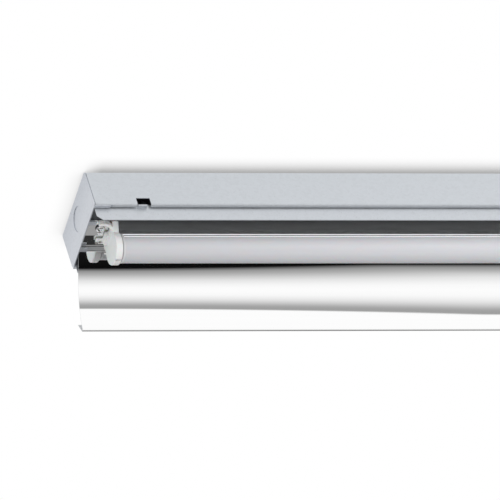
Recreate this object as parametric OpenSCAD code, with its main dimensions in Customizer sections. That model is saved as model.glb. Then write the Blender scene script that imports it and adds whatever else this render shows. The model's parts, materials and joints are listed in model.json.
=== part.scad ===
/* [Lamp] */
// Length of the LED tube between the faces of its two end caps
lamp_l = 1199.4; // [588.5:0.1:1513.5]
// Outer diameter of the LED tube
lamp_d = 26; // [25:0.1:27]
// Height of the lamp's axis below the ceiling face
lamp_drop = 54; // [53.6:0.1:60]
// Distance between the two pins of a lamp cap, centre to centre
pin_pitch = 12.7; // [12:0.1:13]
// Diameter of a lamp pin
pin_d = 2.35; // [2.2:0.01:2.5]
// Length of a lamp pin outside its cap
pin_l = 6.6; // [6.2:0.05:6.7]
// Half of the angle that the aluminium back of the tube covers
back_angle = 67; // [60:1:72]

/* [Housing] */
// Width of the housing
housing_w = 80; // [78:0.5:100]
// Height of the housing
housing_h = 40; // [39.8:0.1:41]
// Thickness of the housing's steel sheet
sheet_t = 0.8; // [0.6:0.05:1]
// Outer radius of the folds along the housing's lower edges
fold_r = 2.8; // [2.2:0.1:3]
// Outer radius of the two upper corners of the housing
corner_r = 1.5; // [1.2:0.1:3]
// Width of the lips that turn inwards along the lower edges
lip_w = 3.4; // [3.1:0.05:3.5]
// Thickness of the end cap plates
cap_t = 1; // [0.8:0.1:1.5]
// Distance from a lamp face to the outer face of the end cap
end_room = 29.3; // [29.2:0.1:40]
// Distance between the two ceiling fixing holes
fixing_pitch = 800; // [300:10:1000]
// Diameter of a ceiling fixing hole
fixing_d = 5.5; // [4.5:0.1:6.5]
// Diameter of the supply cable entry in the housing's back
entry_d = 20.5; // [18:0.5:24]
// Diameter of the conduit knockout in an end cap
knockout_d = 23; // [18:0.5:25]
// Height of the knockout's centre below the ceiling face
knockout_drop = 18.3; // [17.5:0.1:20]

/* [Slots and hooks] */
// Distance from the end of the housing to its hook slot
slot_x = 40.2; // [40:0.1:60]
// Length of the hook slot
slot_l = 12.6; // [11:0.1:16]
// Height of the hook slot's upper edge below the ceiling face
slot_top = 31.6; // [30:0.1:33]
// Length of a hook of the gear tray
hook_l = 8.3; // [7:0.1:9]
// Distance from the end of the housing to the relief notch in the fold
notch_x = 15.5; // [15.2:0.1:18]

/* [Gear tray] */
// Thickness of the gear tray's steel sheet
tray_t = 0.8; // [0.6:0.05:1]
// Gap between the tray's flanges and the housing's lips
tray_gap = 0.6; // [0.3:0.05:1]
// Height of the underside of the tray's web below the ceiling face
web_drop = 36.1; // [35.5:0.1:36.6]
// Height of the lower edge of the near flange below the ceiling face
flange_drop = 54.4; // [50:0.1:60]
// Outer radius of the tray's upper folds
tray_r = 1.6; // [1.3:0.1:3]

/* [Reflector] */
// Thickness of the mirror sheet
mirror_t = 0.5; // [0.4:0.05:0.6]
// Distance of the reflector's near edge from the middle
hem_y = 23; // [22.5:0.1:26]
// Distance of the near fold line from the middle
near_fold_y = 18.2; // [17.8:0.1:18.5]
// Distance of the far fold line from the middle
far_fold_y = 15.8; // [15:0.1:16]
// Depth of the ridge between the two fold lines
ridge_h = 1.4; // [0.8:0.05:1.6]
// Distance of the wing's root from the middle
wing_root_y = 20.6; // [20.5:0.1:24]
// Slope of the wing at its root
wing_slope = 41; // [39:0.5:44]
// Radius of the wing's long and gentle upper curve
wing_top_r = 220; // [190:5:260]
// Slope of the wing at its knee, where the curve tightens
knee_slope = 49; // [48:0.5:51]
// Radius of the wing's lower curve, from the knee to the tip
wing_r = 80.5; // [76:0.5:90]
// Slope of the wing at its tip
tip_slope = 77; // [74:0.5:79]
// Slope of the return lip behind the wing's tip
lip_slope = 70; // [64:0.5:74]
// Width of the return lip
return_w = 12; // [6:0.1:14]
// Number of rivets along each edge of the reflector
rivet_count = 6; // [3:1:10]

/* [Lampholder] */
// Radius of the lampholder's round head
head_r = 14.7; // [14.5:0.05:15]
// Thickness of the round head
head_t = 5.8; // [5.5:0.05:5.9]
// Radius of the rotor that turns with the lamp
rotor_r = 7.7; // [7.6:0.02:7.8]
// Outer radius of the C-shaped foot
foot_r = 11; // [10.6:0.1:11.2]
// Height of the C-shaped foot
foot_h = 4.6; // [3.5:0.1:6]

/* [Tray lock] */
// Distance of a tray lock from the end of the housing
lock_x = 14; // [13.8:0.05:14.2]
// Distance of a tray lock from the middle of the housing
lock_y = 8; // [7.6:0.1:8.4]
// Radius of the lock's domed head
dome_r = 4.3; // [3.8:0.1:4.4]
// Radius of the lock's shank
shank_r = 2; // [1.6:0.05:2]
// Length of the lock's cross bar
bar_l = 12; // [10:0.1:12.2]

/* [Wiring] */
// Diameter of an insulated lead
lead_d = 2.2; // [1.8:0.05:2.4]
// Distance of the terminal block from the middle of the light
block_x = 60; // [50:1:120]
// Distance between two poles of the terminal block
pole_pitch = 8; // [7:0.1:9]
// Radius of the bore through the cable grommet
grommet_r = 5; // [3.5:0.1:6]

/* [Hidden] */
$fn = 64;

// One overrun for all cuts, one gap for parts that are dropped into a hole,
// one for faces that pass each other, and the running clearance of a turning part
over = 1;
slip = 0.1;
pass = 0.3;
running = 0.05;

// Overall places, from the lamp outwards
housing_l = lamp_l + 2 * end_room;
half_l = housing_l / 2;
half_w = housing_w / 2;
left = 0;
right = 180;

// Housing fold, hooks and notch
flange_y = half_w - lip_w - tray_gap;
hook_t = 0.8;
hook_out = 0.3;
hook_rise = 1.2;
hook_under = 0.4;
hook_side = 0.4;
notch_w = 3;
notch_deep_share = 0.95;
notch_rise = 1.6;

// End cap: side flanges, riveted tabs, lips under the fold and support tabs
side_flange_l = 14.5;
side_flange_top = 4;
side_flange_low = 36.5;
tab_l = 11;
tab_w = 14;
tab_y = 26;
low_lip_t = 0.6;
low_lip_l = 15;
low_lip_w = 3;
low_lip_in = 0.4;
support_y = 16.5;
support_w = 4.6;
support_l = 7;
support_t = 0.8;
ring_slot = 0.5;
tie_w = 3;
tie_count = 3;
tie_turn = 100;

// Rivets
rivet_r = 1.6;
rivet_head_r = 3;
rivet_head_h = 0.9;
rivet_flush = 0.05;
hem_rivet_r = 1.2;
hem_rivet_head_r = 2;
hem_rivet_head_h = 0.5;
hem_rivet_tail_h = 0.5;
hem_rivet_first = 60;

// Lock bracket
bracket_t = 1.2;
bracket_w = 16;
bracket_in = 6.3;
bracket_flange = 4.4;
bracket_drop = 32;

// Tray lock
bar_w = 3;
bar_h = 2;
dome_h = 3.4;
dome_slot_w = 1;
dome_slot_h = 1.4;
dome_slot_turn = 50;
ring_h = 1;
ring_r = 3.6;
bar_side = 0.3;

// Gear tray ends
tray_end = cap_t + pass;
tray_cut_drop = 49.1;
tray_cut_l = 5;
mirror_gap = 0.6;
mirror_end = cap_t + mirror_gap;

// Reflector outline
hem_z = -web_drop - mirror_t;
ridge_z = hem_z - ridge_h;
root_bend_r = 1.5;
tip_bend_r = 1.2;
hem_cut_l = 24;
hem_cut_in = 0.8;
wing_top_steps = 8;
wing_steps = 24;
bend_steps = 6;

// Lampholder
cover_h = 0.5;
cover_margin = 0.9;
cover_steps = 8;
collar_gap = 0.3;
collar_l = 1.7;
head_x = end_room - collar_gap - head_t - collar_l;
collar_r = lamp_d / 2 - 0.1;
back_wall = 0.6;
neck_top_y = 18.4;
neck_low_y = 13;
neck_low = 46;
stem_w = 12;
stem_in = 1;
stem_t = 4.8;
stem_top = 31;
stem_hook = 1.6;
foot_t = 3;
foot_from = -118;
foot_to = 28;
shroud_l = 5;
shroud_w = 11;
shroud_h = 6.5;
step_l = 9.5;
step_w = 6;
step_h = 2.4;
eyelet_r = 1.4;
eyelet_bore_r = 0.75;
eyelet_h = 1.6;
eyelet_sunk = 1;
entry_w = pin_d + 0.4;
contact_t = 0.4;
contact_h = 6;
contact_l = 4.6;
contact_tail_h = 8;
contact_in = 1;
rotor_plate = 0.35;

// Tube
glass_t = 1;
back_t = 1.2;
seam_angle = 1;
ring_steps = 24;
shelf_t = 1;
shelf_z = (lamp_d / 2 - back_t) * cos(back_angle) - shelf_t / 2;
cap_rim = 2;
plug_l = 12;
board_w = 11;
board_t = 1.2;
board_margin = 18;
led_w = 2.8;
led_l = 3.5;
led_h = 0.8;
led_pitch = 24;
driver_l = 110;
driver_w = 13;
driver_t = 1.2;
driver_gap = 0.2;
driver_parts = 5;
driver_part_l = 12;
driver_part_w = 8;
driver_part_h = 3.4;
pin_root = 4;

// Terminal block
poles = 3;
block_l = 20;
block_h = 14;
block_margin = 1.5;
block_y = 2;
wire_bore_r = 1.6;
wire_bore_l = 7;
clamp_l = 10;
clamp_w = 5;
clamp_h = 5;
screw_r = 1.7;
screw_h = 3.2;
screw_slot_w = 0.7;
screw_slot_h = 0.9;

// Leads: where they run, and how far above the web
lead_r = lead_d / 2;
lead_sides = 8;
web_top = -web_drop + tray_t;
clip_count = 4;
clip_l = 8;
clip_w = 7;
clip_h = 3.6;
clip_mouth = 1.54;
first_clip_x = 126;
last_clip_in = 88;
run_in = 6.2;
run_y = tray_t + run_in - flange_y;
lead_rise = 0.6;
lead_z = web_top + lead_rise + lead_r;
block_bore_rise = 6;
block_lead_z = web_top + block_bore_rise;
earth_run = 52;
earth_x = block_x + earth_run;
stud_r = 2;
stud_h = 10;
stud_head_r = 4;
stud_head_h = 1;
nut_r = 3.9;
nut_h = 3.2;
tag_t = 0.8;
tag_r = 3.8;

// Grommet
grommet_lip = 2;
grommet_lip_t = 1.5;
grommet_sleeve_h = 5;

function unit(v) = v / norm(v);
function turned(v) = [-v[1], v[0]];
function arc(c, r, from, to, steps) =
    [for (i = [0:steps]) c + r * [cos(from + (to - from) * i / steps), sin(from + (to - from) * i / steps)]];
function after_first(list) = [for (i = [1:len(list) - 1]) list[i]];
function side(path, i) = turned(unit(path[i + 1] - path[i]));
function miter(path, i) =
    let (before = side(path, max(i - 1, 0)))
    let (after = side(path, min(i, len(path) - 2)))
    (before + after) / (1 + before * after);

// A sheet's outline: the path of one face and the other face at its thickness
function sheet(path, t) =
    concat(path, [for (i = [len(path) - 1:-1:0]) path[i] + t * miter(path, i)]);

// A channel's outer face, from the foot of one wall over the back to the other
function channel(w, top, foot, r, steps) = concat(
    [[-w, foot]],
    arc([-w + r, top - r], r, 180, 90, steps),
    arc([w - r, top - r], r, 90, 0, steps),
    [[w, foot]]
);

function housing_path() = concat(
    [[-half_w + lip_w, -housing_h]],
    arc([-half_w + fold_r, -housing_h + fold_r], fold_r, 270, 180, bend_steps),
    arc([-half_w + corner_r, -corner_r], corner_r, 180, 90, bend_steps),
    arc([half_w - corner_r, -corner_r], corner_r, 90, 0, bend_steps),
    arc([half_w - fold_r, -housing_h + fold_r], fold_r, 0, -90, bend_steps),
    [[half_w - lip_w, -housing_h]]
);

// The wing's places, from its root over the knee down to its tip
function out_of(slope) = [sin(slope), cos(slope)];
root_c = [wing_root_y, hem_z - root_bend_r];
wing_top_c = root_c + (root_bend_r - wing_top_r) * out_of(wing_slope);
knee = wing_top_c + wing_top_r * out_of(knee_slope);
wing_c = knee - wing_r * out_of(knee_slope);
tip_c = wing_c + (wing_r + tip_bend_r) * out_of(tip_slope);
lip_start = tip_c + tip_bend_r * [sin(lip_slope), -cos(lip_slope)];
lip_end = lip_start + return_w * [cos(lip_slope), sin(lip_slope)];

function reflector_path() = concat(
    [[-hem_y, hem_z], [-near_fold_y, hem_z], [0, ridge_z], [far_fold_y, hem_z]],
    arc(root_c, root_bend_r, 90, 90 - wing_slope, bend_steps),
    after_first(arc(wing_top_c, wing_top_r, 90 - wing_slope, 90 - knee_slope, wing_top_steps)),
    after_first(arc(wing_c, wing_r, 90 - knee_slope, 90 - tip_slope, wing_steps)),
    after_first(arc(tip_c, tip_bend_r, 270 - tip_slope, 270 + lip_slope, 2 * bend_steps)),
    [lip_end]
);

// Height of the back of the wing where the far flange comes down on it
seat_y = flange_y - tray_t;
function back_of_wing(c, r) = c[1] + sqrt((r + mirror_t) ^ 2 - (seat_y - c[0]) ^ 2);
far_foot = slip + (seat_y < knee[0] ? back_of_wing(wing_top_c, wing_top_r) : back_of_wing(wing_c, wing_r));

module along_x(l) {
    rotate([90, 0, 90]) linear_extrude(l) children();
}

module at_end(turn) {
    rotate([0, 0, turn]) translate([-half_l, 0, 0]) children();
}

module at_lamp_axis() {
    translate([0, 0, -lamp_drop]) rotate([0, 90, 0]) children();
}

module box(x, y, z) {
    translate([x[0], y[0], z[0]]) cube([x[1] - x[0], y[1] - y[0], z[1] - z[0]]);
}

module both_sides() {
    children();
    mirror([0, 1, 0]) children();
}

module housing() {
    color([0.79, 0.81, 0.83]) difference() {
        translate([-half_l + cap_t, 0, 0])
            along_x(housing_l - 2 * cap_t) polygon(sheet(housing_path(), -sheet_t));
        for (turn = [left, right]) at_end(turn) both_sides() {
            hook_slot();
            relief_notch();
            translate([tab_l / 2 + cap_t, tab_y, -over]) cylinder(r = rivet_r, h = 2 * over);
        }
        for (x = [-fixing_pitch / 2, fixing_pitch / 2])
            translate([x, 0, -2 * over]) cylinder(d = fixing_d, h = 3 * over);
        translate([0, 0, -2 * over]) cylinder(d = entry_d, h = 3 * over);
    }
}

module hook_slot() {
    box([slot_x, slot_x + slot_l], [-half_w - over, -flange_y], [-housing_h - over, -slot_top]);
}

module relief_notch() {
    deep = lip_w * notch_deep_share;
    translate([notch_x, -half_w, -housing_h - over]) linear_extrude(over + notch_rise)
        polygon([[0, -over], [0, 0], [notch_w / 2, deep], [notch_w, 0], [notch_w, -over]]);
}

module end_cap(turn) {
    color([0.77, 0.79, 0.81]) at_end(turn) difference() {
        union() {
            along_x(cap_t) polygon(housing_path());
            both_sides() {
                box([cap_t, cap_t + side_flange_l],
                    [-half_w + sheet_t, -half_w + 2 * sheet_t], [-side_flange_low, -side_flange_top]);
                box([0, cap_t + tab_l], [tab_y - tab_w / 2, tab_y + tab_w / 2],
                    [-sheet_t - cap_t, -sheet_t]);
                box([0, low_lip_l], [-half_w + low_lip_in, -half_w + low_lip_in + low_lip_w],
                    [-housing_h - low_lip_t, -housing_h]);
                box([0, cap_t], [-half_w + low_lip_in, -half_w + low_lip_in + low_lip_w],
                    [-housing_h - low_lip_t, -housing_h + fold_r]);
                box([0, cap_t + support_l], [-support_y - support_w / 2, -support_y + support_w / 2],
                    [-housing_h, -housing_h + support_t]);
            }
        }
        knockout_ring();
        both_sides() translate([tab_l / 2 + cap_t, tab_y, -sheet_t - cap_t - over])
            cylinder(r = rivet_r, h = cap_t + 2 * over);
    }
}

module knockout_ring() {
    translate([-over, 0, -knockout_drop]) rotate([0, 90, 0]) difference() {
        cylinder(d = knockout_d + ring_slot, h = cap_t + 2 * over);
        translate([0, 0, -over]) cylinder(d = knockout_d - ring_slot, h = cap_t + 4 * over);
        for (i = [0:tie_count - 1]) rotate([0, 0, tie_turn + i * 360 / tie_count])
            translate([0, -tie_w / 2, -over]) cube([knockout_d, tie_w, cap_t + 4 * over]);
    }
}

module end_cap_rivets() {
    color([0.75, 0.76, 0.78])
    for (turn = [left, right]) at_end(turn) both_sides()
        translate([tab_l / 2 + cap_t, tab_y, -sheet_t - cap_t]) {
            cylinder(r = rivet_r - slip / 2, h = sheet_t + cap_t - rivet_flush);
            translate([0, 0, -rivet_head_h]) cylinder(r = rivet_head_r, h = rivet_head_h);
        }
}

// Lock bracket: a strip folded down from the housing's back, with a long hole for the lock's bar
module lock_bracket(turn) {
    low = -bracket_drop;
    top = -sheet_t - bracket_t;
    out = bracket_in + bracket_t;
    path = [[-out - bracket_flange, top], [-out, top], [-out, low], [out, low], [out, top],
        [out + bracket_flange, top]];
    color([0.74, 0.76, 0.78]) at_end(turn) translate([lock_x, -lock_y, 0]) difference() {
        translate([0, bracket_w / 2, 0]) rotate([90, 0, 0])
            linear_extrude(bracket_w) polygon(sheet(path, bracket_t));
        box([-shank_r - bar_side, shank_r + bar_side], [-bar_l / 2 - bar_side, bar_l / 2 + bar_side],
            [low - over, low + bracket_t + over]);
    }
}

module tray_lock(turn) {
    base = ridge_z - slip;
    bar_z = -bracket_drop + bracket_t + slip;
    cap_r = (dome_r ^ 2 + dome_h ^ 2) / (2 * dome_h);
    color([0.82, 0.83, 0.85]) at_end(turn) translate([lock_x, -lock_y, 0]) difference() {
        union() {
            intersection() {
                translate([0, 0, base - dome_h + cap_r]) sphere(r = cap_r);
                translate([0, 0, base - dome_h]) cylinder(r = dome_r, h = dome_h);
            }
            translate([0, 0, base - dome_h / 2]) cylinder(r = shank_r, h = bar_z + bar_h - base + dome_h / 2);
            box([-bar_l / 2, bar_l / 2], [-bar_w / 2, bar_w / 2], [bar_z, bar_z + bar_h]);
        }
        rotate([0, 0, dome_slot_turn]) box([-dome_r - over, dome_r + over],
            [-dome_slot_w / 2, dome_slot_w / 2], [base - dome_h - over, base - dome_h + dome_slot_h]);
    }
}

module lock_ring(turn) {
    color([0.3, 0.31, 0.33]) at_end(turn) translate([lock_x, -lock_y, web_top + slip]) difference() {
        cylinder(r = ring_r, h = ring_h);
        translate([0, 0, -over]) cylinder(r = shank_r + running, h = ring_h + 2 * over);
    }
}

module cable_grommet() {
    hole_r = entry_d / 2 - slip;
    lip = hole_r + grommet_lip;
    color([0.12, 0.12, 0.13]) difference() {
        union() {
            translate([0, 0, -sheet_t]) cylinder(r = hole_r, h = sheet_t - rivet_flush);
            translate([0, 0, -sheet_t - grommet_lip_t]) cylinder(r = lip, h = grommet_lip_t);
            translate([0, 0, -sheet_t - grommet_sleeve_h])
                cylinder(r = grommet_r + grommet_lip, h = grommet_sleeve_h);
        }
        translate([0, 0, -sheet_t - grommet_sleeve_h - over])
            cylinder(r = grommet_r, h = grommet_sleeve_h + sheet_t + 2 * over);
    }
}

module gear_tray() {
    tray_l = housing_l - 2 * tray_end;
    color([0.79, 0.81, 0.84]) difference() {
        union() {
            translate([-tray_l / 2, 0, 0]) along_x(tray_l) difference() {
                polygon(sheet(channel(flange_y, web_top, -flange_drop, tray_r, bend_steps), -tray_t));
                translate([0, far_foot - flange_drop]) square([housing_w, flange_drop]);
            }
            for (turn = [left, right]) at_end(turn) both_sides() tray_hook();
        }
        for (turn = [left, right]) at_end(turn) {
            both_sides() tray_corner();
            holder_window(slip);
            lock_hole();
        }
        hem_rivet_places() translate([0, 0, -over]) cylinder(r = hem_rivet_r, h = tray_t + 2 * over);
        translate([earth_x, block_y + pole_pitch, web_top - tray_t - over])
            cylinder(r = stud_r + slip, h = tray_t + 2 * over);
    }
}

// The hook: a bottom plate from the flange outwards and its upturned end in the housing's slot
module tray_hook() {
    out = half_w - hook_out;
    low = -housing_h - hook_under;
    box([slot_x + hook_side, slot_x + hook_side + hook_l], [-out, -flange_y + tray_t / 2], [low, low + hook_t]);
    box([slot_x + hook_side, slot_x + hook_side + hook_l], [-out, -out + hook_t], [low, low + hook_rise]);
}

module tray_corner() {
    foot = flange_drop + over;
    reach = tray_cut_l * (foot - tray_cut_drop) / (flange_drop - tray_cut_drop);
    translate([tray_end, -flange_y + tray_t + over, 0]) rotate([90, 0, 0]) linear_extrude(tray_t + 2 * over)
        polygon([[-over, -foot], [reach, -foot], [0, -tray_cut_drop], [-over, -tray_cut_drop]]);
}

module holder_window(gap) {
    x = head_x + stem_in;
    box([x - gap, x + stem_t + gap], [-stem_w / 2 - gap, stem_w / 2 + gap],
        [-web_drop - mirror_t - ridge_h - over, web_top + over]);
}

module lock_hole() {
    translate([lock_x, -lock_y, ridge_z - over])
        cylinder(r = shank_r + bar_side, h = web_top - ridge_z + 2 * over);
}

module hem_rivet_places() {
    run = housing_l - 2 * hem_rivet_first;
    far_y = (far_fold_y + wing_root_y) / 2;
    near_y = -(near_fold_y + hem_y) / 2;
    for (i = [0:rivet_count - 1]) for (y = [near_y, far_y])
        translate([-run / 2 + i * run / (rivet_count - 1), y, -web_drop]) children();
}

module reflector() {
    mirror_l = housing_l - 2 * mirror_end;
    color([0.9, 0.91, 0.92]) difference() {
        translate([-mirror_l / 2, 0, 0]) along_x(mirror_l) polygon(sheet(reflector_path(), mirror_t));
        for (turn = [left, right]) at_end(turn) {
            holder_window(slip);
            lock_hole();
            box([0, hem_cut_l], [-hem_y - over, -near_fold_y + hem_cut_in],
                [ridge_z - over, -web_drop + over]);
        }
        hem_rivet_places() translate([0, 0, -mirror_t - over])
            cylinder(r = hem_rivet_r, h = mirror_t + 2 * over);
    }
}

module reflector_rivets() {
    color([0.8, 0.8, 0.82]) hem_rivet_places() {
        translate([0, 0, -mirror_t]) cylinder(r = hem_rivet_r - slip / 2, h = mirror_t + tray_t);
        translate([0, 0, tray_t]) cylinder(r = hem_rivet_head_r, h = hem_rivet_tail_h);
        translate([0, 0, -mirror_t - hem_rivet_head_h]) cylinder(r = hem_rivet_head_r, h = hem_rivet_head_h);
    }
}

module lampholder(turn) {
    front = end_room - collar_gap;
    stem_x = head_x + stem_in;
    roof = ridge_z - pass;
    pocket_x = head_x + back_wall;
    color([0.94, 0.94, 0.93]) at_end(turn) difference() {
        union() {
            translate([head_x, 0, 0]) at_lamp_axis() cylinder(r = head_r, h = head_t);
            translate([head_x + head_t, 0, 0]) at_lamp_axis()
                cylinder(r = collar_r, h = front - head_x - head_t);
            translate([head_x, 0, 0]) along_x(head_t) polygon([[-neck_top_y, roof], [head_r, roof],
                [neck_low_y, -neck_low], [0, -lamp_drop], [-neck_low_y, -neck_low]]);
            box([stem_x, stem_x + stem_t], [-stem_w / 2, stem_w / 2], [-lamp_drop, -stem_top]);
            box([stem_x, stem_x + stem_t], [-stem_w / 2 - stem_hook, stem_w / 2 + stem_hook],
                [web_top + slip, -stem_top]);
            holder_foot(roof);
            box([head_x - shroud_l, head_x + slip], [-shroud_w / 2, shroud_w / 2], [roof - shroud_h, roof]);
            box([head_x - step_l, head_x + slip], [shroud_w / 2 - step_w / 2, shroud_w / 2 + step_w / 2],
                [roof - step_h, roof]);
        }
        translate([pocket_x, 0, 0]) at_lamp_axis() cylinder(r = rotor_r + running, h = front - pocket_x + over);
        box([pocket_x, front + over], [-entry_w / 2, entry_w / 2], [-lamp_drop - head_r - over, -lamp_drop]);
        both_sides() contact_space(slip, pocket_x);
        for (p = eyelet_places()) translate([p[0], p[1], roof - step_h - over])
            cylinder(r = eyelet_r + slip / 2, h = over + eyelet_sunk);
        translate([lock_x, -lock_y, roof - shroud_h - over])
            cylinder(r = dome_r + pass, h = shroud_h + 2 * over);
    }
}

function eyelet_places() = [
    for (i = [0, 1])
        [head_x - step_l + eyelet_r + slip + i * (2 * eyelet_r + slip), shroud_w / 2 + eyelet_r * (1 - i)]
];

module contact_space(gap, pocket_x) {
    y = rotor_r + slip;
    box([pocket_x + contact_in - gap, pocket_x + contact_in + contact_l + gap], [-y - contact_t - gap, -y + gap],
        [-lamp_drop - contact_h / 2 - gap, -lamp_drop + contact_tail_h + gap]);
}

module holder_foot(roof) {
    translate([lock_x, -lock_y, roof - foot_h]) difference() {
        cylinder(r = foot_r, h = foot_h);
        translate([0, 0, -over]) cylinder(r = foot_r - foot_t, h = foot_h + 2 * over);
        translate([0, 0, -over]) linear_extrude(foot_h + 2 * over)
            polygon(concat([[0, 0]], arc([0, 0], 2 * foot_r, foot_to, 360 + foot_from, bend_steps)));
    }
}

module lampholder_cover(turn) {
    r = head_r - cover_margin;
    ball = (r ^ 2 + cover_h ^ 2) / (2 * cover_h);
    dome = [for (i = [0:cover_steps]) let (x = r * i / cover_steps) [x, ball - sqrt(ball ^ 2 - x ^ 2)]];
    color([0.95, 0.95, 0.94]) at_end(turn) difference() {
        translate([head_x - cover_h, 0, 0]) at_lamp_axis()
            rotate_extrude() polygon(concat(dome, [[0, cover_h]]));
        box([head_x - cover_h - over, head_x + over], [-shroud_w / 2 - slip, shroud_w / 2 + slip],
            [ridge_z - pass - shroud_h - slip, ridge_z]);
    }
}

module contacts(turn) {
    color([0.8, 0.62, 0.35]) at_end(turn) both_sides() {
        y = rotor_r + slip;
        x = head_x + back_wall + contact_in;
        box([x, x + contact_l], [-y - contact_t, -y],
            [-lamp_drop - contact_h / 2, -lamp_drop + contact_tail_h]);
    }
}

module terminals(turn) {
    z = ridge_z - pass - step_h - eyelet_h + eyelet_sunk;
    color([0.75, 0.76, 0.78]) at_end(turn) for (p = eyelet_places()) translate([p[0], p[1], z]) difference() {
        cylinder(r = eyelet_r, h = eyelet_h);
        translate([0, 0, -over]) cylinder(r = eyelet_bore_r, h = eyelet_h + 2 * over);
    }
}

module rotor(turn) {
    x = head_x + back_wall + slip;
    l = end_room - collar_gap - slip - x;
    color([0.9, 0.9, 0.88]) at_end(turn) difference() {
        translate([x, 0, 0]) at_lamp_axis() cylinder(r = rotor_r, h = l);
        box([x + rotor_plate, x + l + over], [-rotor_r - over, rotor_r + over],
            [-lamp_drop - pin_d / 2 - slip, -lamp_drop + pin_d / 2 + slip]);
    }
}

// Tube outlines are drawn about the lamp's axis
function tube_ring(r, from, to) = arc([0, -lamp_drop], r, from, to, ring_steps);

module tube_diffuser() {
    r = lamp_d / 2;
    from = 90 + back_angle + seam_angle;
    to = 450 - back_angle - seam_angle;
    l = lamp_l - 2 * cap_rim;
    color([0.84, 0.84, 0.86]) translate([-l / 2, 0, 0]) along_x(l)
        polygon(concat(tube_ring(r, from, to), tube_ring(r - glass_t, to, from)));
}

module tube_heat_sink() {
    r = lamp_d / 2;
    from = 90 + back_angle;
    to = 90 - back_angle;
    l = lamp_l - 2 * cap_rim;
    in_r = r - back_t;
    edge = [in_r * sin(back_angle), in_r * cos(back_angle) - lamp_drop];
    low = shelf_z - lamp_drop;
    shelf_angle = asin((shelf_z + shelf_t) / in_r);
    color([0.8, 0.81, 0.82]) translate([-l / 2, 0, 0]) along_x(l) difference() {
        polygon(concat(tube_ring(r, from, to), [edge, [edge[0], low], [-edge[0], low], [-edge[0], edge[1]]]));
        polygon(tube_ring(in_r, 180 - shelf_angle, shelf_angle));
    }
}

module tube_led_board() {
    l = lamp_l - 2 * board_margin;
    color([0.95, 0.95, 0.95]) box([-l / 2, l / 2], [-board_w / 2, board_w / 2],
        [-lamp_drop + shelf_z - board_t, -lamp_drop + shelf_z]);
}

module tube_leds() {
    z = -lamp_drop + shelf_z - board_t;
    count = floor((lamp_l - 2 * board_margin - led_pitch) / led_pitch);
    color([0.95, 0.85, 0.35]) for (i = [0:count]) translate([(i - count / 2) * led_pitch, 0, z - led_h])
        translate([-led_l / 2, -led_w / 2, 0]) cube([led_l, led_w, led_h]);
}

module tube_driver() {
    x = -lamp_l / 2 + cap_rim + plug_l;
    z = -lamp_drop + shelf_z + shelf_t + driver_gap;
    pitch = (driver_l - driver_part_l) / driver_parts;
    color([0.15, 0.4, 0.25]) {
        box([x, x + driver_l], [-driver_w / 2, driver_w / 2], [z, z + driver_t]);
        for (i = [0:driver_parts - 1]) translate([x + (i + 1) * pitch - driver_part_l / 2, 0, z + driver_t])
            translate([0, -driver_part_w / 2, 0]) cube([driver_part_l, driver_part_w, driver_part_h]);
    }
}

module tube_cap(turn) {
    r = lamp_d / 2;
    plug_r = r - max(glass_t, back_t) - slip;
    color([0.86, 0.86, 0.87]) at_end(turn) difference() {
        union() {
            translate([end_room, 0, 0]) at_lamp_axis() cylinder(r = r, h = cap_rim);
            translate([end_room + cap_rim, 0, 0]) at_lamp_axis() difference() {
                cylinder(r = plug_r, h = plug_l - slip);
                cylinder(r = plug_r - glass_t, h = plug_l + over);
            }
        }
        both_sides() translate([end_room, pin_pitch / 2, 0]) at_lamp_axis()
            translate([0, 0, -over]) cylinder(d = pin_d, h = cap_rim + 2 * over);
        box([end_room + cap_rim, end_room + cap_rim + plug_l], [-lamp_d, lamp_d],
            [-lamp_drop + shelf_z - slip, -lamp_drop + shelf_z + shelf_t + slip]);
    }
}

module tube_pins(turn) {
    color([0.85, 0.8, 0.6]) at_end(turn) both_sides()
        translate([end_room - pin_l, pin_pitch / 2, 0]) at_lamp_axis() cylinder(d = pin_d, h = pin_l + pin_root);
}

block_w = poles * pole_pitch + 2 * block_margin;
function pole_y(i) = block_y + (i - (poles - 1) / 2) * pole_pitch;

module terminal_block() {
    mid = block_lead_z;
    color([0.93, 0.93, 0.9]) difference() {
        box([block_x - block_l / 2, block_x + block_l / 2], [block_y - block_w / 2, block_y + block_w / 2],
            [web_top, web_top + block_h]);
        for (i = [0:poles - 1]) {
            translate([block_x - block_l / 2 - over, pole_y(i), mid]) rotate([0, 90, 0])
                cylinder(r = wire_bore_r, h = block_l + 2 * over);
            box([block_x - clamp_l / 2 - slip, block_x + clamp_l / 2 + slip],
                [pole_y(i) - clamp_w / 2 - slip, pole_y(i) + clamp_w / 2 + slip],
                [mid - clamp_h / 2 - slip, mid + clamp_h / 2 + slip]);
            for (s = [-1, 1]) translate([block_x + s * clamp_l / 4, pole_y(i), mid])
                cylinder(r = screw_r + slip, h = block_h);
        }
    }
}

module terminal_clamps() {
    color([0.78, 0.62, 0.3]) for (i = [0:poles - 1]) difference() {
        box([block_x - clamp_l / 2, block_x + clamp_l / 2], [pole_y(i) - clamp_w / 2, pole_y(i) + clamp_w / 2],
            [block_lead_z - clamp_h / 2, block_lead_z + clamp_h / 2]);
        translate([block_x - clamp_l, pole_y(i), block_lead_z]) rotate([0, 90, 0])
            cylinder(r = wire_bore_r, h = 2 * clamp_l);
    }
}

module terminal_screws() {
    z = block_lead_z + clamp_h / 2 + slip / 2;
    color([0.7, 0.71, 0.73]) for (i = [0:poles - 1]) for (s = [-1, 1])
        translate([block_x + s * clamp_l / 4, pole_y(i), z]) difference() {
            cylinder(r = screw_r, h = screw_h);
            translate([-screw_r - over, -screw_slot_w / 2, screw_h - screw_slot_h])
                cube([2 * (screw_r + over), screw_slot_w, screw_slot_h + over]);
        }
}

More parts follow.
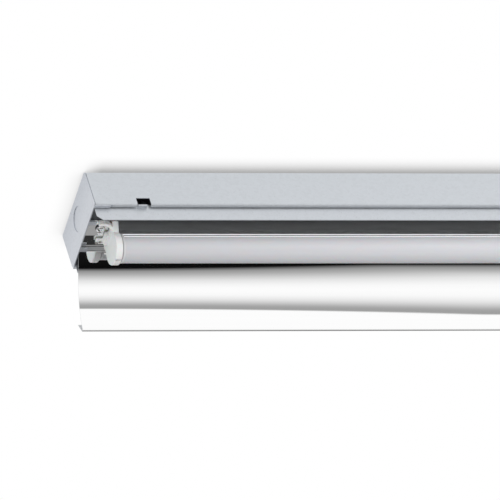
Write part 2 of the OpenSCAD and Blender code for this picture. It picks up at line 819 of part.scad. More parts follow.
// A lead is swept along its points, which lie almost level
function flat_side(t) = unit([-t[1], t[0], 0]);
function ring_at(path, i) =
    let (t = unit(path[min(i + 1, len(path) - 1)] - path[max(i - 1, 0)]))
    let (s = flat_side(t))
    let (u = cross(t, s))
    [for (k = [0:lead_sides - 1]) let (a = 360 * k / lead_sides) path[i] + lead_r * (cos(a) * s + sin(a) * u)];

module lead(path) {
    n = lead_sides;
    last = len(path) - 1;
    points = [for (i = [0:last]) for (p = ring_at(path, i)) p];
    walls = [for (i = [0:last - 1]) for (k = [0:n - 1])
        [i * n + k, i * n + (k + 1) % n, (i + 1) * n + (k + 1) % n, (i + 1) * n + k]];
    ends = [[for (k = [n - 1:-1:0]) k], [for (k = [0:n - 1]) last * n + k]];
    polyhedron(points, concat(walls, ends), convexity = 8);
}

block_out = block_x + block_l / 2;
stem_back = head_x + stem_in + stem_t;
holder_lead_y = 3;

// The points of each lead, from the terminal block to the lampholder or the stud
live_points = [
    [block_out - wire_bore_l / 2, pole_y(0), block_lead_z], [block_out + 4, pole_y(0), block_lead_z],
    [block_out + 9, pole_y(0) - 1.5, block_lead_z - 1], [block_out + 12, pole_y(0) - 6, lead_z + 1],
    [block_out + 12, pole_y(0) - 12, lead_z], [block_out + 9, pole_y(0) - 18, lead_z],
    [block_out + 3, run_y - 0.5, lead_z], [block_out - 4, run_y, lead_z], [0, run_y, lead_z],
    [-half_l / 2, run_y, lead_z], [-half_l + 66, run_y, lead_z], [-half_l + 60, run_y + 1, lead_z],
    [-half_l + 54, run_y + 5, lead_z], [-half_l + 49, run_y + 12, lead_z],
    [-half_l + 44, -holder_lead_y - 4, lead_z],
    [-half_l + 39, -holder_lead_y - 0.8, lead_z], [-half_l + 34, -holder_lead_y, lead_z],
    [-half_l + stem_back + slip, -holder_lead_y, lead_z]
];
neutral_points = [
    [block_out - wire_bore_l / 2, pole_y(1), block_lead_z], [block_out + 5, pole_y(1), block_lead_z],
    [block_out + 12, pole_y(1) - 1, block_lead_z - 1.5], [block_out + 18, pole_y(1) - 6, lead_z + 0.5],
    [block_out + 22, pole_y(1) - 14, lead_z], [block_out + 26, pole_y(1) - 22, lead_z],
    [block_out + 32, run_y - 1, lead_z], [block_out + 40, run_y, lead_z],
    [half_l / 2, run_y, lead_z], [half_l - 76, run_y, lead_z], [half_l - 70, run_y + 1, lead_z],
    [half_l - 64, run_y + 5, lead_z], [half_l - 58, run_y + 12, lead_z], [half_l - 51, run_y + 22, lead_z],
    [half_l - 45, holder_lead_y - 4, lead_z], [half_l - 39, holder_lead_y - 0.6, lead_z],
    [half_l - 34, holder_lead_y, lead_z], [half_l - stem_back - slip, holder_lead_y, lead_z]
];
earth_points = [
    [block_out - wire_bore_l / 2, pole_y(2), block_lead_z], [block_out + 6, pole_y(2), block_lead_z],
    [block_out + 14, pole_y(2) + 1, block_lead_z - 1.5], [block_out + 22, pole_y(2) + 1, lead_z + 0.4],
    [block_out + 30, pole_y(2), lead_z - 0.2], [earth_x - stud_head_r - slip, pole_y(2), lead_z - 0.2]
];

module live_lead() {
    color([0.45, 0.27, 0.16]) lead(live_points);
}

module neutral_lead() {
    color([0.18, 0.35, 0.65]) lead(neutral_points);
}

module earth_lead() {
    color([0.35, 0.6, 0.25]) lead(earth_points);
}

module lead_clips() {
    step = (half_l - last_clip_in - first_clip_x) / (clip_count - 1);
    color([0.92, 0.92, 0.9]) for (s = [-1, 1]) for (i = [0:clip_count - 1])
        translate([s * (first_clip_x + i * step), run_y, web_top]) difference() {
            translate([-clip_l / 2, -clip_w / 2, 0]) cube([clip_l, clip_w, clip_h]);
            translate([-clip_l, 0, lead_z - web_top]) rotate([0, 90, 0])
                cylinder(r = lead_r + slip, h = 2 * clip_l);
            translate([-clip_l, -clip_mouth / 2, lead_z - web_top]) cube([2 * clip_l, clip_mouth, clip_h]);
        }
}

module earth_stud() {
    color([0.8, 0.66, 0.36]) translate([earth_x, pole_y(2), web_top - tray_t]) {
        cylinder(r = stud_r, h = stud_h);
        translate([0, 0, tray_t]) cylinder(r = stud_head_r, h = stud_head_h);
    }
}

module earth_nut() {
    z = web_top + stud_head_h;
    color([0.8, 0.68, 0.4]) translate([earth_x, pole_y(2), z]) difference() {
        union() {
            cylinder(r = tag_r, h = tag_t);
            translate([0, 0, tag_t]) cylinder(r = nut_r, h = nut_h, $fn = 6);
        }
        translate([0, 0, -over]) cylinder(r = stud_r + running, h = nut_h + tag_t + 2 * over);
    }
}

housing();
end_cap(left);  // end_cap_left
end_cap(right);  // end_cap_right
end_cap_rivets();
lock_bracket(left);  // lock_bracket_left
lock_bracket(right);  // lock_bracket_right
cable_grommet();
gear_tray();
reflector();
reflector_rivets();
lampholder(left);  // lampholder_left
lampholder(right);  // lampholder_right
lampholder_cover(left);  // lampholder_cover_left
lampholder_cover(right);  // lampholder_cover_right
contacts(left);  // contacts_left
contacts(right);  // contacts_right
terminals(left);  // terminals_left
terminals(right);  // terminals_right
tray_lock(left);  // tray_lock_left
tray_lock(right);  // tray_lock_right
lock_ring(left);  // lock_ring_left
lock_ring(right);  // lock_ring_right
rotor(left);  // rotor_left
rotor(right);  // rotor_right
tube_diffuser();
tube_heat_sink();
tube_led_board();
tube_leds();
tube_driver();
tube_cap(left);  // tube_cap_left
tube_cap(right);  // tube_cap_right
tube_pins(left);  // tube_pins_left
tube_pins(right);  // tube_pins_right
terminal_block();
terminal_clamps();
terminal_screws();
live_lead();
neutral_lead();
earth_lead();
lead_clips();
earth_stud();
earth_nut();
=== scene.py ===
# %% [markdown]
# # A batten light with a bare LED tube
# The real object is a folded steel channel that is screwed to a ceiling. A mirror reflector with one
# long wing hangs under it, and a round LED tube sits between two white rotary lampholders. This lesson
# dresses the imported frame: it keeps every place that the frame gives, models the pieces that show
# again with soft folds and round edges, and gives each finish its own nodes.

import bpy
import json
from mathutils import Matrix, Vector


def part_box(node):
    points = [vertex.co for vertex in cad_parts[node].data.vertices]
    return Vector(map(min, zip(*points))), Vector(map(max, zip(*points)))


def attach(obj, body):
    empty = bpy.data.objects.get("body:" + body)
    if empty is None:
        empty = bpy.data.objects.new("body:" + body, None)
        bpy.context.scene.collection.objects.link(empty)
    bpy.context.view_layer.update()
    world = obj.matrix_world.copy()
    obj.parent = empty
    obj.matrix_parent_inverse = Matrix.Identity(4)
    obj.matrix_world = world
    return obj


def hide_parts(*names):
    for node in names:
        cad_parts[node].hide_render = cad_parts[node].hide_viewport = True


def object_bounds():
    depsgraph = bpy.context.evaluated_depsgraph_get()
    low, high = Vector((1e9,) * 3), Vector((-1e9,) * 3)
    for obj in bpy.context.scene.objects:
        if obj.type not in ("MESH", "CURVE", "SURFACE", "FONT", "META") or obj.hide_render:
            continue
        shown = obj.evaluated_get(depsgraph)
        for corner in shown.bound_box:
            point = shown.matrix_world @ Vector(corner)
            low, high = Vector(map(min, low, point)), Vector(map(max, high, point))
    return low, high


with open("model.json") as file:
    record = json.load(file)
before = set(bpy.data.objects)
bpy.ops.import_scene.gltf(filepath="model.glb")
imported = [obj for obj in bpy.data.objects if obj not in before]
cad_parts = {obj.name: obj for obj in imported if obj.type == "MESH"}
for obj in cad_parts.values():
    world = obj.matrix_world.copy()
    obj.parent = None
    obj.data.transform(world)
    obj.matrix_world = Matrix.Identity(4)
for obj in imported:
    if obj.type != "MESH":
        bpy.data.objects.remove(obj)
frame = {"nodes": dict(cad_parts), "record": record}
cad_low, cad_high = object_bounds()
nodes = frame["nodes"]
print("frame:", len(nodes), "nodes, from", tuple(cad_low), "to", tuple(cad_high))

# %% Blender's modules and the units of this lesson
import json
import math

import bmesh
import bpy
from mathutils import Matrix, Vector

MM = 0.001
DEGREE = math.pi / 180
scene = bpy.context.scene
print("one degree is", round(DEGREE, 5), "radians, one millimetre", MM, "metres")

# %% [markdown]
# ## Sizes
# The meshes are drawn in millimetres, because folds and rivets are easier to think of that way, and
# each one shrinks to metres when it is finished. The overall sizes are read from the frame, so the
# pieces follow it. The small ones are the sheet maker's: wall thickness, fold radius, slot and hook.

# %% Sizes read from the frame
def node_box(name):
    low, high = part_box(name)
    return low / MM, high / MM


housing_low, housing_high = node_box("housing")
cap_low = node_box("end_cap_left")[0]
reflector_low, reflector_high = node_box("reflector")
diffuser_low, diffuser_high = node_box("tube_diffuser")
tube_cap_low, tube_cap_high = node_box("tube_cap_left")
half_l = -cap_low.x
half_w = housing_high.y
housing_h = -housing_low.z
cap_t = housing_low.x - cap_low.x
lamp_r = (tube_cap_high.y - tube_cap_low.y) / 2
lamp_z = tube_cap_low.z + lamp_r
end_room = half_l + tube_cap_low.x
ENDS = {"left": 0, "right": 180}
print("light:", round(2 * half_l, 1), "long,", round(2 * half_w, 1), "wide; lamp radius", round(lamp_r, 2),
      "at", round(lamp_z, 2))

# %% Sizes of the folded sheet parts
sheet_t = 0.8
fold_r = 2.8
corner_r = 1.5
lip_w = 2.95
slot_x, slot_l, slot_top = 40.2, 12.6, 31.6
notch_x, notch_w, notch_rise, notch_depth = 14.4, 4.2, 0.8, 3.2
seam = 0.5
rivet_x, rivet_y, rivet_r = 6.5, 26.0, 1.6
fixing_x, fixing_r = 400.0, 2.75
entry_r = 10.25
lock_x, lock_y = 14.0, -8.0
stem_x, stem_l, stem_w = 22.5, 4.8, 12.0
overrun = 2.0
print("hook slot", slot_x, "and notch", notch_x, "from each end; lock at", (lock_x, lock_y))

# %% [markdown]
# ## Tools of the bench
# A folded sheet is drawn as it goes through the press: an edge as long as the light runs straight, then
# swings round the centre of a fold. `extrude_edge_only` makes the straight stretches and `spin` the
# folds, and `solidify` gives the sheet its thickness. Each corner of an outline is a point with its
# fold radius. Round parts come off a lathe, which is `spin` through a full turn.

# %% Swing and slide an edge
FOLD_TOLERANCE = 0.002


def verts_of(made):
    return [g for g in made if isinstance(g, bmesh.types.BMVert)]


def edges_of(made):
    return [g for g in made if isinstance(g, bmesh.types.BMEdge)]


def steps_for(radius, turn):
    return max(2, math.ceil(abs(turn) / (2 * math.sqrt(2 * FOLD_TOLERANCE / radius))))


def swing(bm, edge, centre, turn, radius):
    """The edge swings round a line along X and leaves a curved face behind. Returns where it ends."""
    made = bmesh.ops.spin(bm, geom=[edge], cent=(0, *centre), axis=(1, 0, 0), dvec=(0, 0, 0), angle=turn,
                          steps=steps_for(radius, turn), use_merge=False, use_duplicate=False)
    return edges_of(made["geom_last"])[0]


def slide(bm, edge, step):
    """The edge moves straight and leaves a flat face behind."""
    made = bmesh.ops.extrude_edge_only(bm, edges=[edge])["geom"]
    moved = verts_of(made)
    bmesh.ops.translate(bm, verts=moved, vec=(0, *step))
    return next(e for e in edges_of(made) if all(v in moved for v in e.verts))


print("a quarter fold of 3 mm takes", steps_for(3, math.pi / 2), "steps")


# %% Fold a sheet along its corners
def fold_face(x_range, corners):
    """One face of a bent sheet through corners of (y, z, fold radius)."""
    bm = bmesh.new()
    edge = bm.edges.new([bm.verts.new((x, *corners[0][:2])) for x in x_range])
    here = Vector(corners[0][:2])
    for i in range(1, len(corners)):
        corner = Vector(corners[i][:2])
        way = (corner - here).normalized()
        turn = back = 0
        if i < len(corners) - 1:
            after = (Vector(corners[i + 1][:2]) - corner).normalized()
            turn = math.atan2(way.x * after.y - way.y * after.x, way.dot(after))
            back = corners[i][2] * math.tan(abs(turn) / 2)
        stop = corner - way * back
        if (stop - here).length > FOLD_TOLERANCE:
            edge = slide(bm, edge, stop - here)
        here = stop
        if back:
            radius = corners[i][2]
            centre = here + radius * math.copysign(1, turn) * Vector((-way.y, way.x))
            edge = swing(bm, edge, centre, turn, radius)
            here = corner + after * back
    return bm


def look_right(bm, start, onwards):
    """Makes an open sheet's faces agree: seen along the way from start to onwards, they look right."""
    bmesh.ops.remove_doubles(bm, verts=bm.verts[:], dist=FOLD_TOLERANCE / 2)
    bmesh.ops.recalc_face_normals(bm, faces=bm.faces[:])
    bm.normal_update()
    way = (Vector(onwards[:2]) - Vector(start[:2])).normalized()
    middle = Vector((0, *(Vector(start[:2]) + way / 2)))
    near = min(bm.faces, key=lambda f: abs(f.calc_center_median().yz.length - middle.yz.length)
               + (f.calc_center_median().yz - middle.yz).length)
    if near.normal.dot(Vector((0, way.y, -way.x))) < 0:
        bmesh.ops.reverse_faces(bm, faces=bm.faces[:])


def folded_sheet(x_range, corners, thickness):
    """A bent sheet: the face through the corners looks right of their way, and the wall lies left of it."""
    bm = fold_face(x_range, corners)
    look_right(bm, corners[0], corners[1])
    bmesh.ops.solidify(bm, geom=bm.faces[:], thickness=thickness)
    return bm


# %% [markdown]
# ### Blocks, prisms and lathe work
# Whatever is not sheet is drawn out or turned. A block has its edges rounded by `bevel`, because no real
# edge is perfectly sharp and the small round catches the light. A prism is a flat outline drawn out by
# `extrude_face_region`. A turned part is a line of points that `spin` takes round its axis.

# %% Blocks and prisms
def block(x, y, z, soft=0.0, segments=3):
    """A box between the places in x, y and z, with its edges rounded by soft."""
    bm = bmesh.new()
    bmesh.ops.create_cube(bm, size=1)
    size = Vector((x[1] - x[0], y[1] - y[0], z[1] - z[0]))
    bmesh.ops.scale(bm, vec=size, verts=bm.verts[:])
    bmesh.ops.translate(bm, vec=Vector((x[0], y[0], z[0])) + size / 2, verts=bm.verts[:])
    if soft:
        bmesh.ops.bevel(bm, geom=bm.edges[:], offset=soft, offset_type="OFFSET", segments=segments,
                        profile=0.5, affect="EDGES", material=-1)
    return bm


def runs_along(edge, axis):
    start, stop = (v.co for v in edge.verts)
    return abs((stop - start).normalized()["XYZ".index(axis)]) > 0.99


def soften(bm, radius, pick, segments=4):
    """Rounds the edges that pick chooses."""
    bmesh.ops.bevel(bm, geom=[e for e in bm.edges if pick(e)], offset=radius, offset_type="OFFSET",
                    segments=segments, profile=0.5, affect="EDGES", material=-1)
    return bm


def prism(corners, way):
    """A flat outline of corners, drawn out along way."""
    bm = bmesh.new()
    face = bm.faces.new([bm.verts.new(corner) for corner in corners])
    made = bmesh.ops.extrude_face_region(bm, geom=[face])["geom"]
    bmesh.ops.translate(bm, verts=verts_of(made), vec=way)
    bmesh.ops.recalc_face_normals(bm, faces=bm.faces[:])
    return bm


# %% Lathe work
UPRIGHT = Matrix.Rotation(-90 * DEGREE, 4, "Y")


def lathe(profile, place=(0, 0, 0), upright=False, segments=96):
    """Turns (distance, radius) points round an axis that runs along X, or along Z where it is upright."""
    bm = bmesh.new()
    line = [bm.verts.new((along, radius, 0)) for along, radius in profile]
    edges = [bm.edges.new(pair) for pair in zip(line, line[1:])]
    bmesh.ops.spin(bm, geom=edges, cent=(0, 0, 0), axis=(1, 0, 0), dvec=(0, 0, 0), angle=2 * math.pi,
                   steps=segments, use_merge=True, use_duplicate=False)
    bmesh.ops.remove_doubles(bm, verts=bm.verts[:], dist=FOLD_TOLERANCE / 2)
    bmesh.ops.recalc_face_normals(bm, faces=bm.faces[:])
    bm.transform(Matrix.Translation(place) @ (UPRIGHT if upright else Matrix.Identity(4)))
    return bm


def rod(start, stop, radius, place=(0, 0, 0), **more):
    """A plain round bar, which also serves as a drill."""
    return lathe([(start, 0), (start, radius), (stop, radius), (stop, 0)], place, **more)


def round_corner(before, corner, after, soft, steps=6):
    """Points that round a profile's corner off by soft, between its two neighbours."""
    corner = Vector(corner)
    start = corner + (Vector(before) - corner).normalized() * soft
    stop = corner + (Vector(after) - corner).normalized() * soft
    shares = [i / steps for i in range(steps + 1)]
    return [tuple(start.lerp(corner, t).lerp(corner.lerp(stop, t), t)) for t in shares]


def soft_profile(points, soft):
    """A lathe profile whose inner corners are rounded. soft gives each corner's share, or one for all."""
    shares = soft if isinstance(soft, (list, tuple)) else [soft] * (len(points) - 2)
    made = [points[0]]
    for before, corner, after, share in zip(points, points[1:], points[2:], shares):
        made += round_corner(before, corner, after, share) if share else [corner]
    return made + [points[-1]]


# %% [markdown]
# ### Cutting and joining
# Slots, holes and windows are cut with the Boolean modifier's exact solver, which keeps a closed mesh
# closed. Its result goes into the mesh at once, so that nothing is left live.

# %% Make, cut and join
def to_object(bm, name):
    mesh = bpy.data.meshes.new(name)
    bm.to_mesh(mesh)
    bm.free()
    made = bpy.data.objects.new(name, mesh)
    scene.collection.objects.link(made)
    return made


def apply_modifiers(piece):
    graph = bpy.context.evaluated_depsgraph_get()
    mesh = bpy.data.meshes.new_from_object(piece.evaluated_get(graph))
    piece.modifiers.clear()
    old, piece.data = piece.data, mesh
    bpy.data.meshes.remove(old)


def combine(piece, bm, operation):
    tool = to_object(bm, "tool")
    modifier = piece.modifiers.new(operation, "BOOLEAN")
    modifier.operation = operation
    modifier.solver = "EXACT"
    modifier.object = tool
    apply_modifiers(piece)
    bpy.data.objects.remove(tool)


def cut(piece, *shapes):
    for bm in shapes:
        combine(piece, bm, "DIFFERENCE")


def unite(piece, *shapes):
    for bm in shapes:
        combine(piece, bm, "UNION")


# %% Several shapes, both hands and both ends
def gather(*shapes):
    """Several shapes in one bmesh, each still a closed shell of its own."""
    together = bmesh.new()
    for bm in shapes:
        mesh = bpy.data.meshes.new("part")
        bm.to_mesh(mesh)
        bm.free()
        together.from_mesh(mesh)
        bpy.data.meshes.remove(mesh)
    return together


def mirrored(bm, axis="Y"):
    """The other hand of a shape, with its faces turned the right way again."""
    copy = bm.copy()
    flip = Vector((1, 1, 1))
    flip["XYZ".index(axis)] = -1
    bmesh.ops.scale(copy, vec=flip, verts=copy.verts[:])
    bmesh.ops.reverse_faces(copy, faces=copy.faces[:])
    return copy


def both_sides(bm):
    return [bm, mirrored(bm)]


def end_place(turn):
    """Takes places that are counted inwards from an end to the left or right end of the light."""
    return Matrix.Rotation(turn * DEGREE, 4, "Z") @ Matrix.Translation((-half_l, 0, 0))


def at_end(bm, turn):
    bm.transform(end_place(turn))
    return bm


# %% [markdown]
# ### Finishing a piece
# When a piece is done, its doubles are merged, its edges over 30 degrees are marked sharp and the rest
# shades smoothly. The Weighted Normal modifier keeps the large flat faces flat beside their round folds.
# Then the piece takes its body, its slot and its finish from the node that it stands for. A sheet that is
# bright on one side and dull on the other gets a second finish on the faces of that side.

# %% Finish a piece
SHARP_ANGLE = 30 * DEGREE


def finish_piece(piece, *replaced):
    """Shades the piece, and takes its body and its finish from the nodes that it stands for."""
    bm = bmesh.new()
    bm.from_mesh(piece.data)
    bmesh.ops.remove_doubles(bm, verts=bm.verts[:], dist=FOLD_TOLERANCE / 4)
    bmesh.ops.recalc_face_normals(bm, faces=bm.faces[:])
    for face in bm.faces:
        face.smooth = True
    for edge in bm.edges:
        edge.smooth = len(edge.link_faces) == 2 and edge.calc_face_angle() < SHARP_ANGLE
    bmesh.ops.scale(bm, vec=(MM, MM, MM), verts=bm.verts[:])
    loose = sum(1 for e in bm.edges if len(e.link_faces) != 2)
    bm.to_mesh(piece.data)
    bm.free()
    weigh = piece.modifiers.new("flat faces stay flat", "WEIGHTED_NORMAL")
    weigh.keep_sharp = True
    apply_modifiers(piece)
    piece.data.materials.clear()
    piece.data.materials.append(finishes[slot_of[replaced[0]]])
    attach(piece, body_of[replaced[0]])
    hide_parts(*replaced)
    print(piece.name, "faces:", len(piece.data.polygons), "open edges:", loose)
    return piece


def paint(piece, finish, pick):
    """Gives one more finish to the faces that pick chooses by their middle in mm and their normal."""
    piece.data.materials.append(finishes[finish])
    for face in piece.data.polygons:
        if pick(face.center / MM, face.normal):
            face.material_index = len(piece.data.materials) - 1


# %% [markdown]
# ## Finishes
# Every finish is one Principled shader with its own small pattern. The patterns read Object coordinates,
# so that they stay on the piece when it moves. The steel is hot-dip galvanised: pale, a little blue, with
# a fine spangle and dark specks. The reflector is bright anodised sheet, nearly a mirror, with the faint
# lengthwise lines that rolling leaves. The plastics are moulded, so they carry a fine grain.

# %% Node helpers
def add_node(material, kind, **values):
    node = material.node_tree.nodes.new(kind)
    for name, value in values.items():
        if name in node.inputs:
            node.inputs[name].default_value = value
        else:
            setattr(node, name, value)
    return node


def join(material, source, target):
    """Joins another node's output to a socket, or gives the socket a plain value."""
    if isinstance(source, bpy.types.NodeSocket):
        material.node_tree.links.new(source, target)
    else:
        target.default_value = source


def new_finish(name, color, metallic, roughness, **more):
    material = bpy.data.materials.new(name)
    material.use_nodes = True
    shader = material.node_tree.nodes["Principled BSDF"]
    shader.inputs["Base Color"].default_value = (*color, 1)
    shader.inputs["Metallic"].default_value = metallic
    shader.inputs["Roughness"].default_value = roughness
    for label, value in more.items():
        shader.inputs[label.replace("_", " ")].default_value = value
    return material, shader


def pattern_place(material, stretch=(1, 1, 1)):
    """Object coordinates, stretched so that one unit is one millimetre times stretch."""
    where = add_node(material, "ShaderNodeTexCoord")
    mapping = add_node(material, "ShaderNodeMapping")
    mapping.inputs["Scale"].default_value = [1 / (MM * s) for s in stretch]
    join(material, where.outputs["Object"], mapping.inputs["Vector"])
    return mapping.outputs["Vector"]


def tone_ramp(material, source, stops):
    """A colour ramp from (position, colour) stops."""
    ramp = add_node(material, "ShaderNodeValToRGB")
    elements = ramp.color_ramp.elements
    while len(elements) < len(stops):
        elements.new(0.5)
    for element, (position, color) in zip(elements, stops):
        element.position = position
        element.color = (*color, 1)
    join(material, source, ramp.inputs["Fac"])
    return ramp.outputs["Color"]


# %% Ranges, mixes, bumps and noise
def value_range(material, source, low, high, start=0.0, stop=1.0):
    """Maps a pattern between start and stop onto low to high."""
    node = add_node(material, "ShaderNodeMapRange")
    for name, value in (("From Min", start), ("From Max", stop), ("To Min", low), ("To Max", high)):
        node.inputs[name].default_value = value
    join(material, source, node.inputs["Value"])
    return node.outputs["Result"]


def vary_roughness(material, shader, pattern, low, high):
    join(material, value_range(material, pattern, low, high), shader.inputs["Roughness"])


def mix_colors(material, share, first, second, blend="MIX"):
    """Mixes two colours by share. Each of the three is a value or another node's output."""
    node = add_node(material, "ShaderNodeMix", data_type="RGBA", blend_type=blend)
    for place, term in ((0, share), (6, first), (7, second)):
        join(material, term, node.inputs[place])
    return node.outputs[2]


def add_bump(material, shader, height, depth_mm, strength=1.0):
    bump = add_node(material, "ShaderNodeBump")
    bump.inputs["Strength"].default_value = strength
    bump.inputs["Distance"].default_value = depth_mm * MM
    join(material, height, bump.inputs["Height"])
    join(material, bump.outputs["Normal"], shader.inputs["Normal"])


def noise(material, place, size, detail=2.0, seed_shift=0.0):
    node = add_node(material, "ShaderNodeTexNoise", Scale=1 / size, Detail=detail)
    if seed_shift:
        shift = add_node(material, "ShaderNodeVectorMath", operation="ADD")
        shift.inputs[1].default_value = (seed_shift, seed_shift, seed_shift)
        join(material, place, shift.inputs[0])
        place = shift.outputs["Vector"]
    join(material, place, node.inputs["Vector"])
    return node.outputs["Fac"]


def shade_of(color, amount):
    return tuple(min(1, c * amount) for c in color)


# %% [markdown]
# ### Galvanised steel
# Spangle is a patchwork of zinc crystals. A Voronoi pattern gives each crystal its own slight tone, a
# fine noise gives the grain inside, and a second, sparse noise leaves the small dark specks.

# %% Galvanised steel
finishes = {}


def galvanised(name, color, roughness=0.42):
    material, shader = new_finish(name, color, 0.68, roughness)
    place = pattern_place(material)
    crystals = add_node(material, "ShaderNodeTexVoronoi", Scale=1 / 2.6, Randomness=1.0)
    join(material, place, crystals.inputs["Vector"])
    crystal_tone = add_node(material, "ShaderNodeSeparateColor")
    join(material, crystals.outputs["Color"], crystal_tone.inputs["Color"])
    grain = noise(material, place, 0.7, detail=3)
    tone = add_node(material, "ShaderNodeMix", data_type="FLOAT")
    tone.inputs[0].default_value = 0.6
    join(material, crystal_tone.outputs["Red"], tone.inputs[2])
    join(material, grain, tone.inputs[3])
    body = tone_ramp(material, tone.outputs[0], [(0.25, shade_of(color, 0.955)), (0.5, color),
                                                 (0.8, shade_of(color, 1.03))])
    specks = noise(material, place, 1.1, detail=1, seed_shift=40)
    speck_tone = tone_ramp(material, specks, [(0.27, shade_of((1, 1, 1), 0.86)), (0.36, (1, 1, 1))])
    join(material, mix_colors(material, 1.0, body, speck_tone, "MULTIPLY"), shader.inputs["Base Color"])
    vary_roughness(material, shader, tone.outputs[0], roughness - 0.06, roughness + 0.06)
    add_bump(material, shader, grain, 0.01, 0.35)
    return material


finishes["galvanised_steel"] = galvanised("zinc coat of the housing", (0.607, 0.636, 0.67))
finishes["galvanised_cap"] = galvanised("zinc coat of the end caps", (0.63, 0.655, 0.7))
finishes["galvanised_tray"] = galvanised("zinc coat of the tray", (0.615, 0.643, 0.678))
# Painted shade: a near-black copy of the zinc for the web's underside, standing in for the shade inside the
# tray.
finishes["painted_shade_zinc"] = galvanised("painted shade on the zinc inside the tray", (0.15, 0.155, 0.165))
finishes["rivet_metal"] = galvanised("pressed rivet", (0.66, 0.67, 0.69), 0.3)
print("finishes so far:", sorted(finishes))

# %% [markdown]
# ### Mirror sheet, tube aluminium and chrome
# All three are metals with a low roughness. Rolled sheet and extrusions carry lines along their length,
# so their noise is stretched by hundreds of millimetres along X.

# %% Bright metals
def rolled_metal(name, color, roughness, line_size, line_depth, change=0.03, metallic=1.0):
    material, shader = new_finish(name, color, metallic, roughness)
    place = pattern_place(material, (400, 1, 1))
    lines = noise(material, place, line_size, detail=3)
    join(material, tone_ramp(material, lines, [(0.3, shade_of(color, 1 - change)), (0.7, color)]),
         shader.inputs["Base Color"])
    vary_roughness(material, shader, lines, roughness * 0.8, roughness * 1.2)
    add_bump(material, shader, lines, line_depth, 0.2)
    return material


def plated(name, color, roughness, grain_size=0.9):
    material, shader = new_finish(name, color, 1.0, roughness)
    place = pattern_place(material)
    wear = noise(material, place, grain_size, detail=3)
    join(material, tone_ramp(material, wear, [(0.3, shade_of(color, 0.93)), (0.65, color)]),
         shader.inputs["Base Color"])
    vary_roughness(material, shader, wear, roughness * 0.7, roughness * 1.4)
    add_bump(material, shader, wear, 0.006, 0.2)
    return material


finishes["mirror_sheet"] = rolled_metal("bright anodised mirror sheet", (0.985, 0.985, 0.985), 0.02, 1.5,
                                        0.0004, change=0.01)
finishes["mirror_back"] = rolled_metal("plain back of the mirror sheet", (0.66, 0.67, 0.68), 0.4, 0.7, 0.01,
                                       metallic=0.5)
finishes["tube_aluminium"] = rolled_metal("extruded aluminium of the tube", (0.7, 0.71, 0.72), 0.5, 0.5, 0.01,
                                          metallic=0.35)
finishes["chromed_lock"] = plated("polished chrome", (0.9, 0.9, 0.91), 0.06)
finishes["spring_steel"] = plated("blackened spring steel", (0.16, 0.165, 0.175), 0.35)
finishes["plated_terminal"] = plated("nickel plate", (0.78, 0.76, 0.72), 0.2)
finishes["contact_bronze"] = plated("sprung bronze", (0.72, 0.47, 0.24), 0.28)
finishes["brass_pin"] = plated("bright brass", (0.85, 0.68, 0.36), 0.18)
print("finishes so far:", len(finishes))

# %% [markdown]
# ### Plastics, lacquer and rubber
# Moulded plastic is not one flat tone: a soft cloudiness runs through it and a fine grain sits on it.
# The frosted diffuser also keeps the faint lines that its extrusion die leaves along the tube. Its thin rims
# get a painted highlight: a weak glow, though the tube is off, that stands in for the glint along its seams.

# %% Plastics
def moulded(name, color, roughness, grain=0.35, depth=0.01, soft=0.0):
    material, shader = new_finish(name, color, 0.0, roughness, IOR=1.49)
    place = pattern_place(material)
    clouds = noise(material, place, 9.0, detail=2)
    join(material, tone_ramp(material, clouds, [(0.3, shade_of(color, 0.97)), (0.7, color)]),
         shader.inputs["Base Color"])
    fine = noise(material, place, grain, detail=2, seed_shift=7)
    vary_roughness(material, shader, fine, roughness - 0.05, roughness + 0.05)
    add_bump(material, shader, fine, depth, 0.25)
    if soft:
        shader.inputs["Subsurface Weight"].default_value = soft
        shader.inputs["Subsurface Scale"].default_value = 2 * MM
    return material


finishes["white_plastic"] = moulded("white moulded plastic", (0.86, 0.86, 0.85), 0.36, soft=0.15)
finishes["rotor_plastic"] = moulded("rotor plastic", (0.8, 0.8, 0.78), 0.4)
finishes["tube_cap_plastic"] = moulded("tube cap plastic", (0.72, 0.72, 0.73), 0.42)
finishes["block_plastic"] = moulded("terminal block plastic", (0.82, 0.82, 0.78), 0.5)
finishes["brown_insulation"] = moulded("brown insulation", (0.16, 0.07, 0.035), 0.45)
finishes["blue_insulation"] = moulded("blue insulation", (0.03, 0.12, 0.42), 0.45)
finishes["green_insulation"] = moulded("green insulation", (0.12, 0.38, 0.07), 0.45)
finishes["black_rubber"] = moulded("black rubber", (0.025, 0.025, 0.027), 0.65, depth=0.02)
finishes["board_white"] = moulded("white solder mask", (0.85, 0.86, 0.85), 0.3)
finishes["board_green"] = moulded("green solder mask", (0.03, 0.2, 0.08), 0.3)
finishes["led_phosphor"] = moulded("yellow phosphor", (0.85, 0.66, 0.12), 0.5)
print("finishes so far:", len(finishes))


# %% Frosted diffuser
def frosted(name, color, roughness):
    material, shader = new_finish(name, color, 0.0, roughness, IOR=1.5)
    place = pattern_place(material, (600, 1, 1))
    lines = noise(material, place, 0.8, detail=3)
    join(material, tone_ramp(material, lines, [(0.3, shade_of(color, 0.975)), (0.7, color)]),
         shader.inputs["Base Color"])
    fine = noise(material, pattern_place(material), 0.25, detail=2, seed_shift=3)
    vary_roughness(material, shader, fine, roughness - 0.04, roughness + 0.04)
    add_bump(material, shader, fine, 0.008, 0.2)
    shader.inputs["Subsurface Weight"].default_value = 0.2
    shader.inputs["Subsurface Scale"].default_value = 1.5 * MM
    return material


finishes["frosted_diffuser"] = frosted("frosted polycarbonate", (0.63, 0.63, 0.655), 0.36)
# A painted highlight: the rims glow a little, though the tube is off, for the bright line along each seam.
finishes["diffuser_painted_glint"] = frosted("painted glint on the diffuser's rim", (0.9, 0.9, 0.92), 0.3)
painted_glint_shader = finishes["diffuser_painted_glint"].node_tree.nodes["Principled BSDF"]
painted_glint_shader.inputs["Emission Color"].default_value = (0.95, 0.95, 0.97, 1)
painted_glint_shader.inputs["Emission Strength"].default_value = 0.5
print("finishes:", len(finishes))
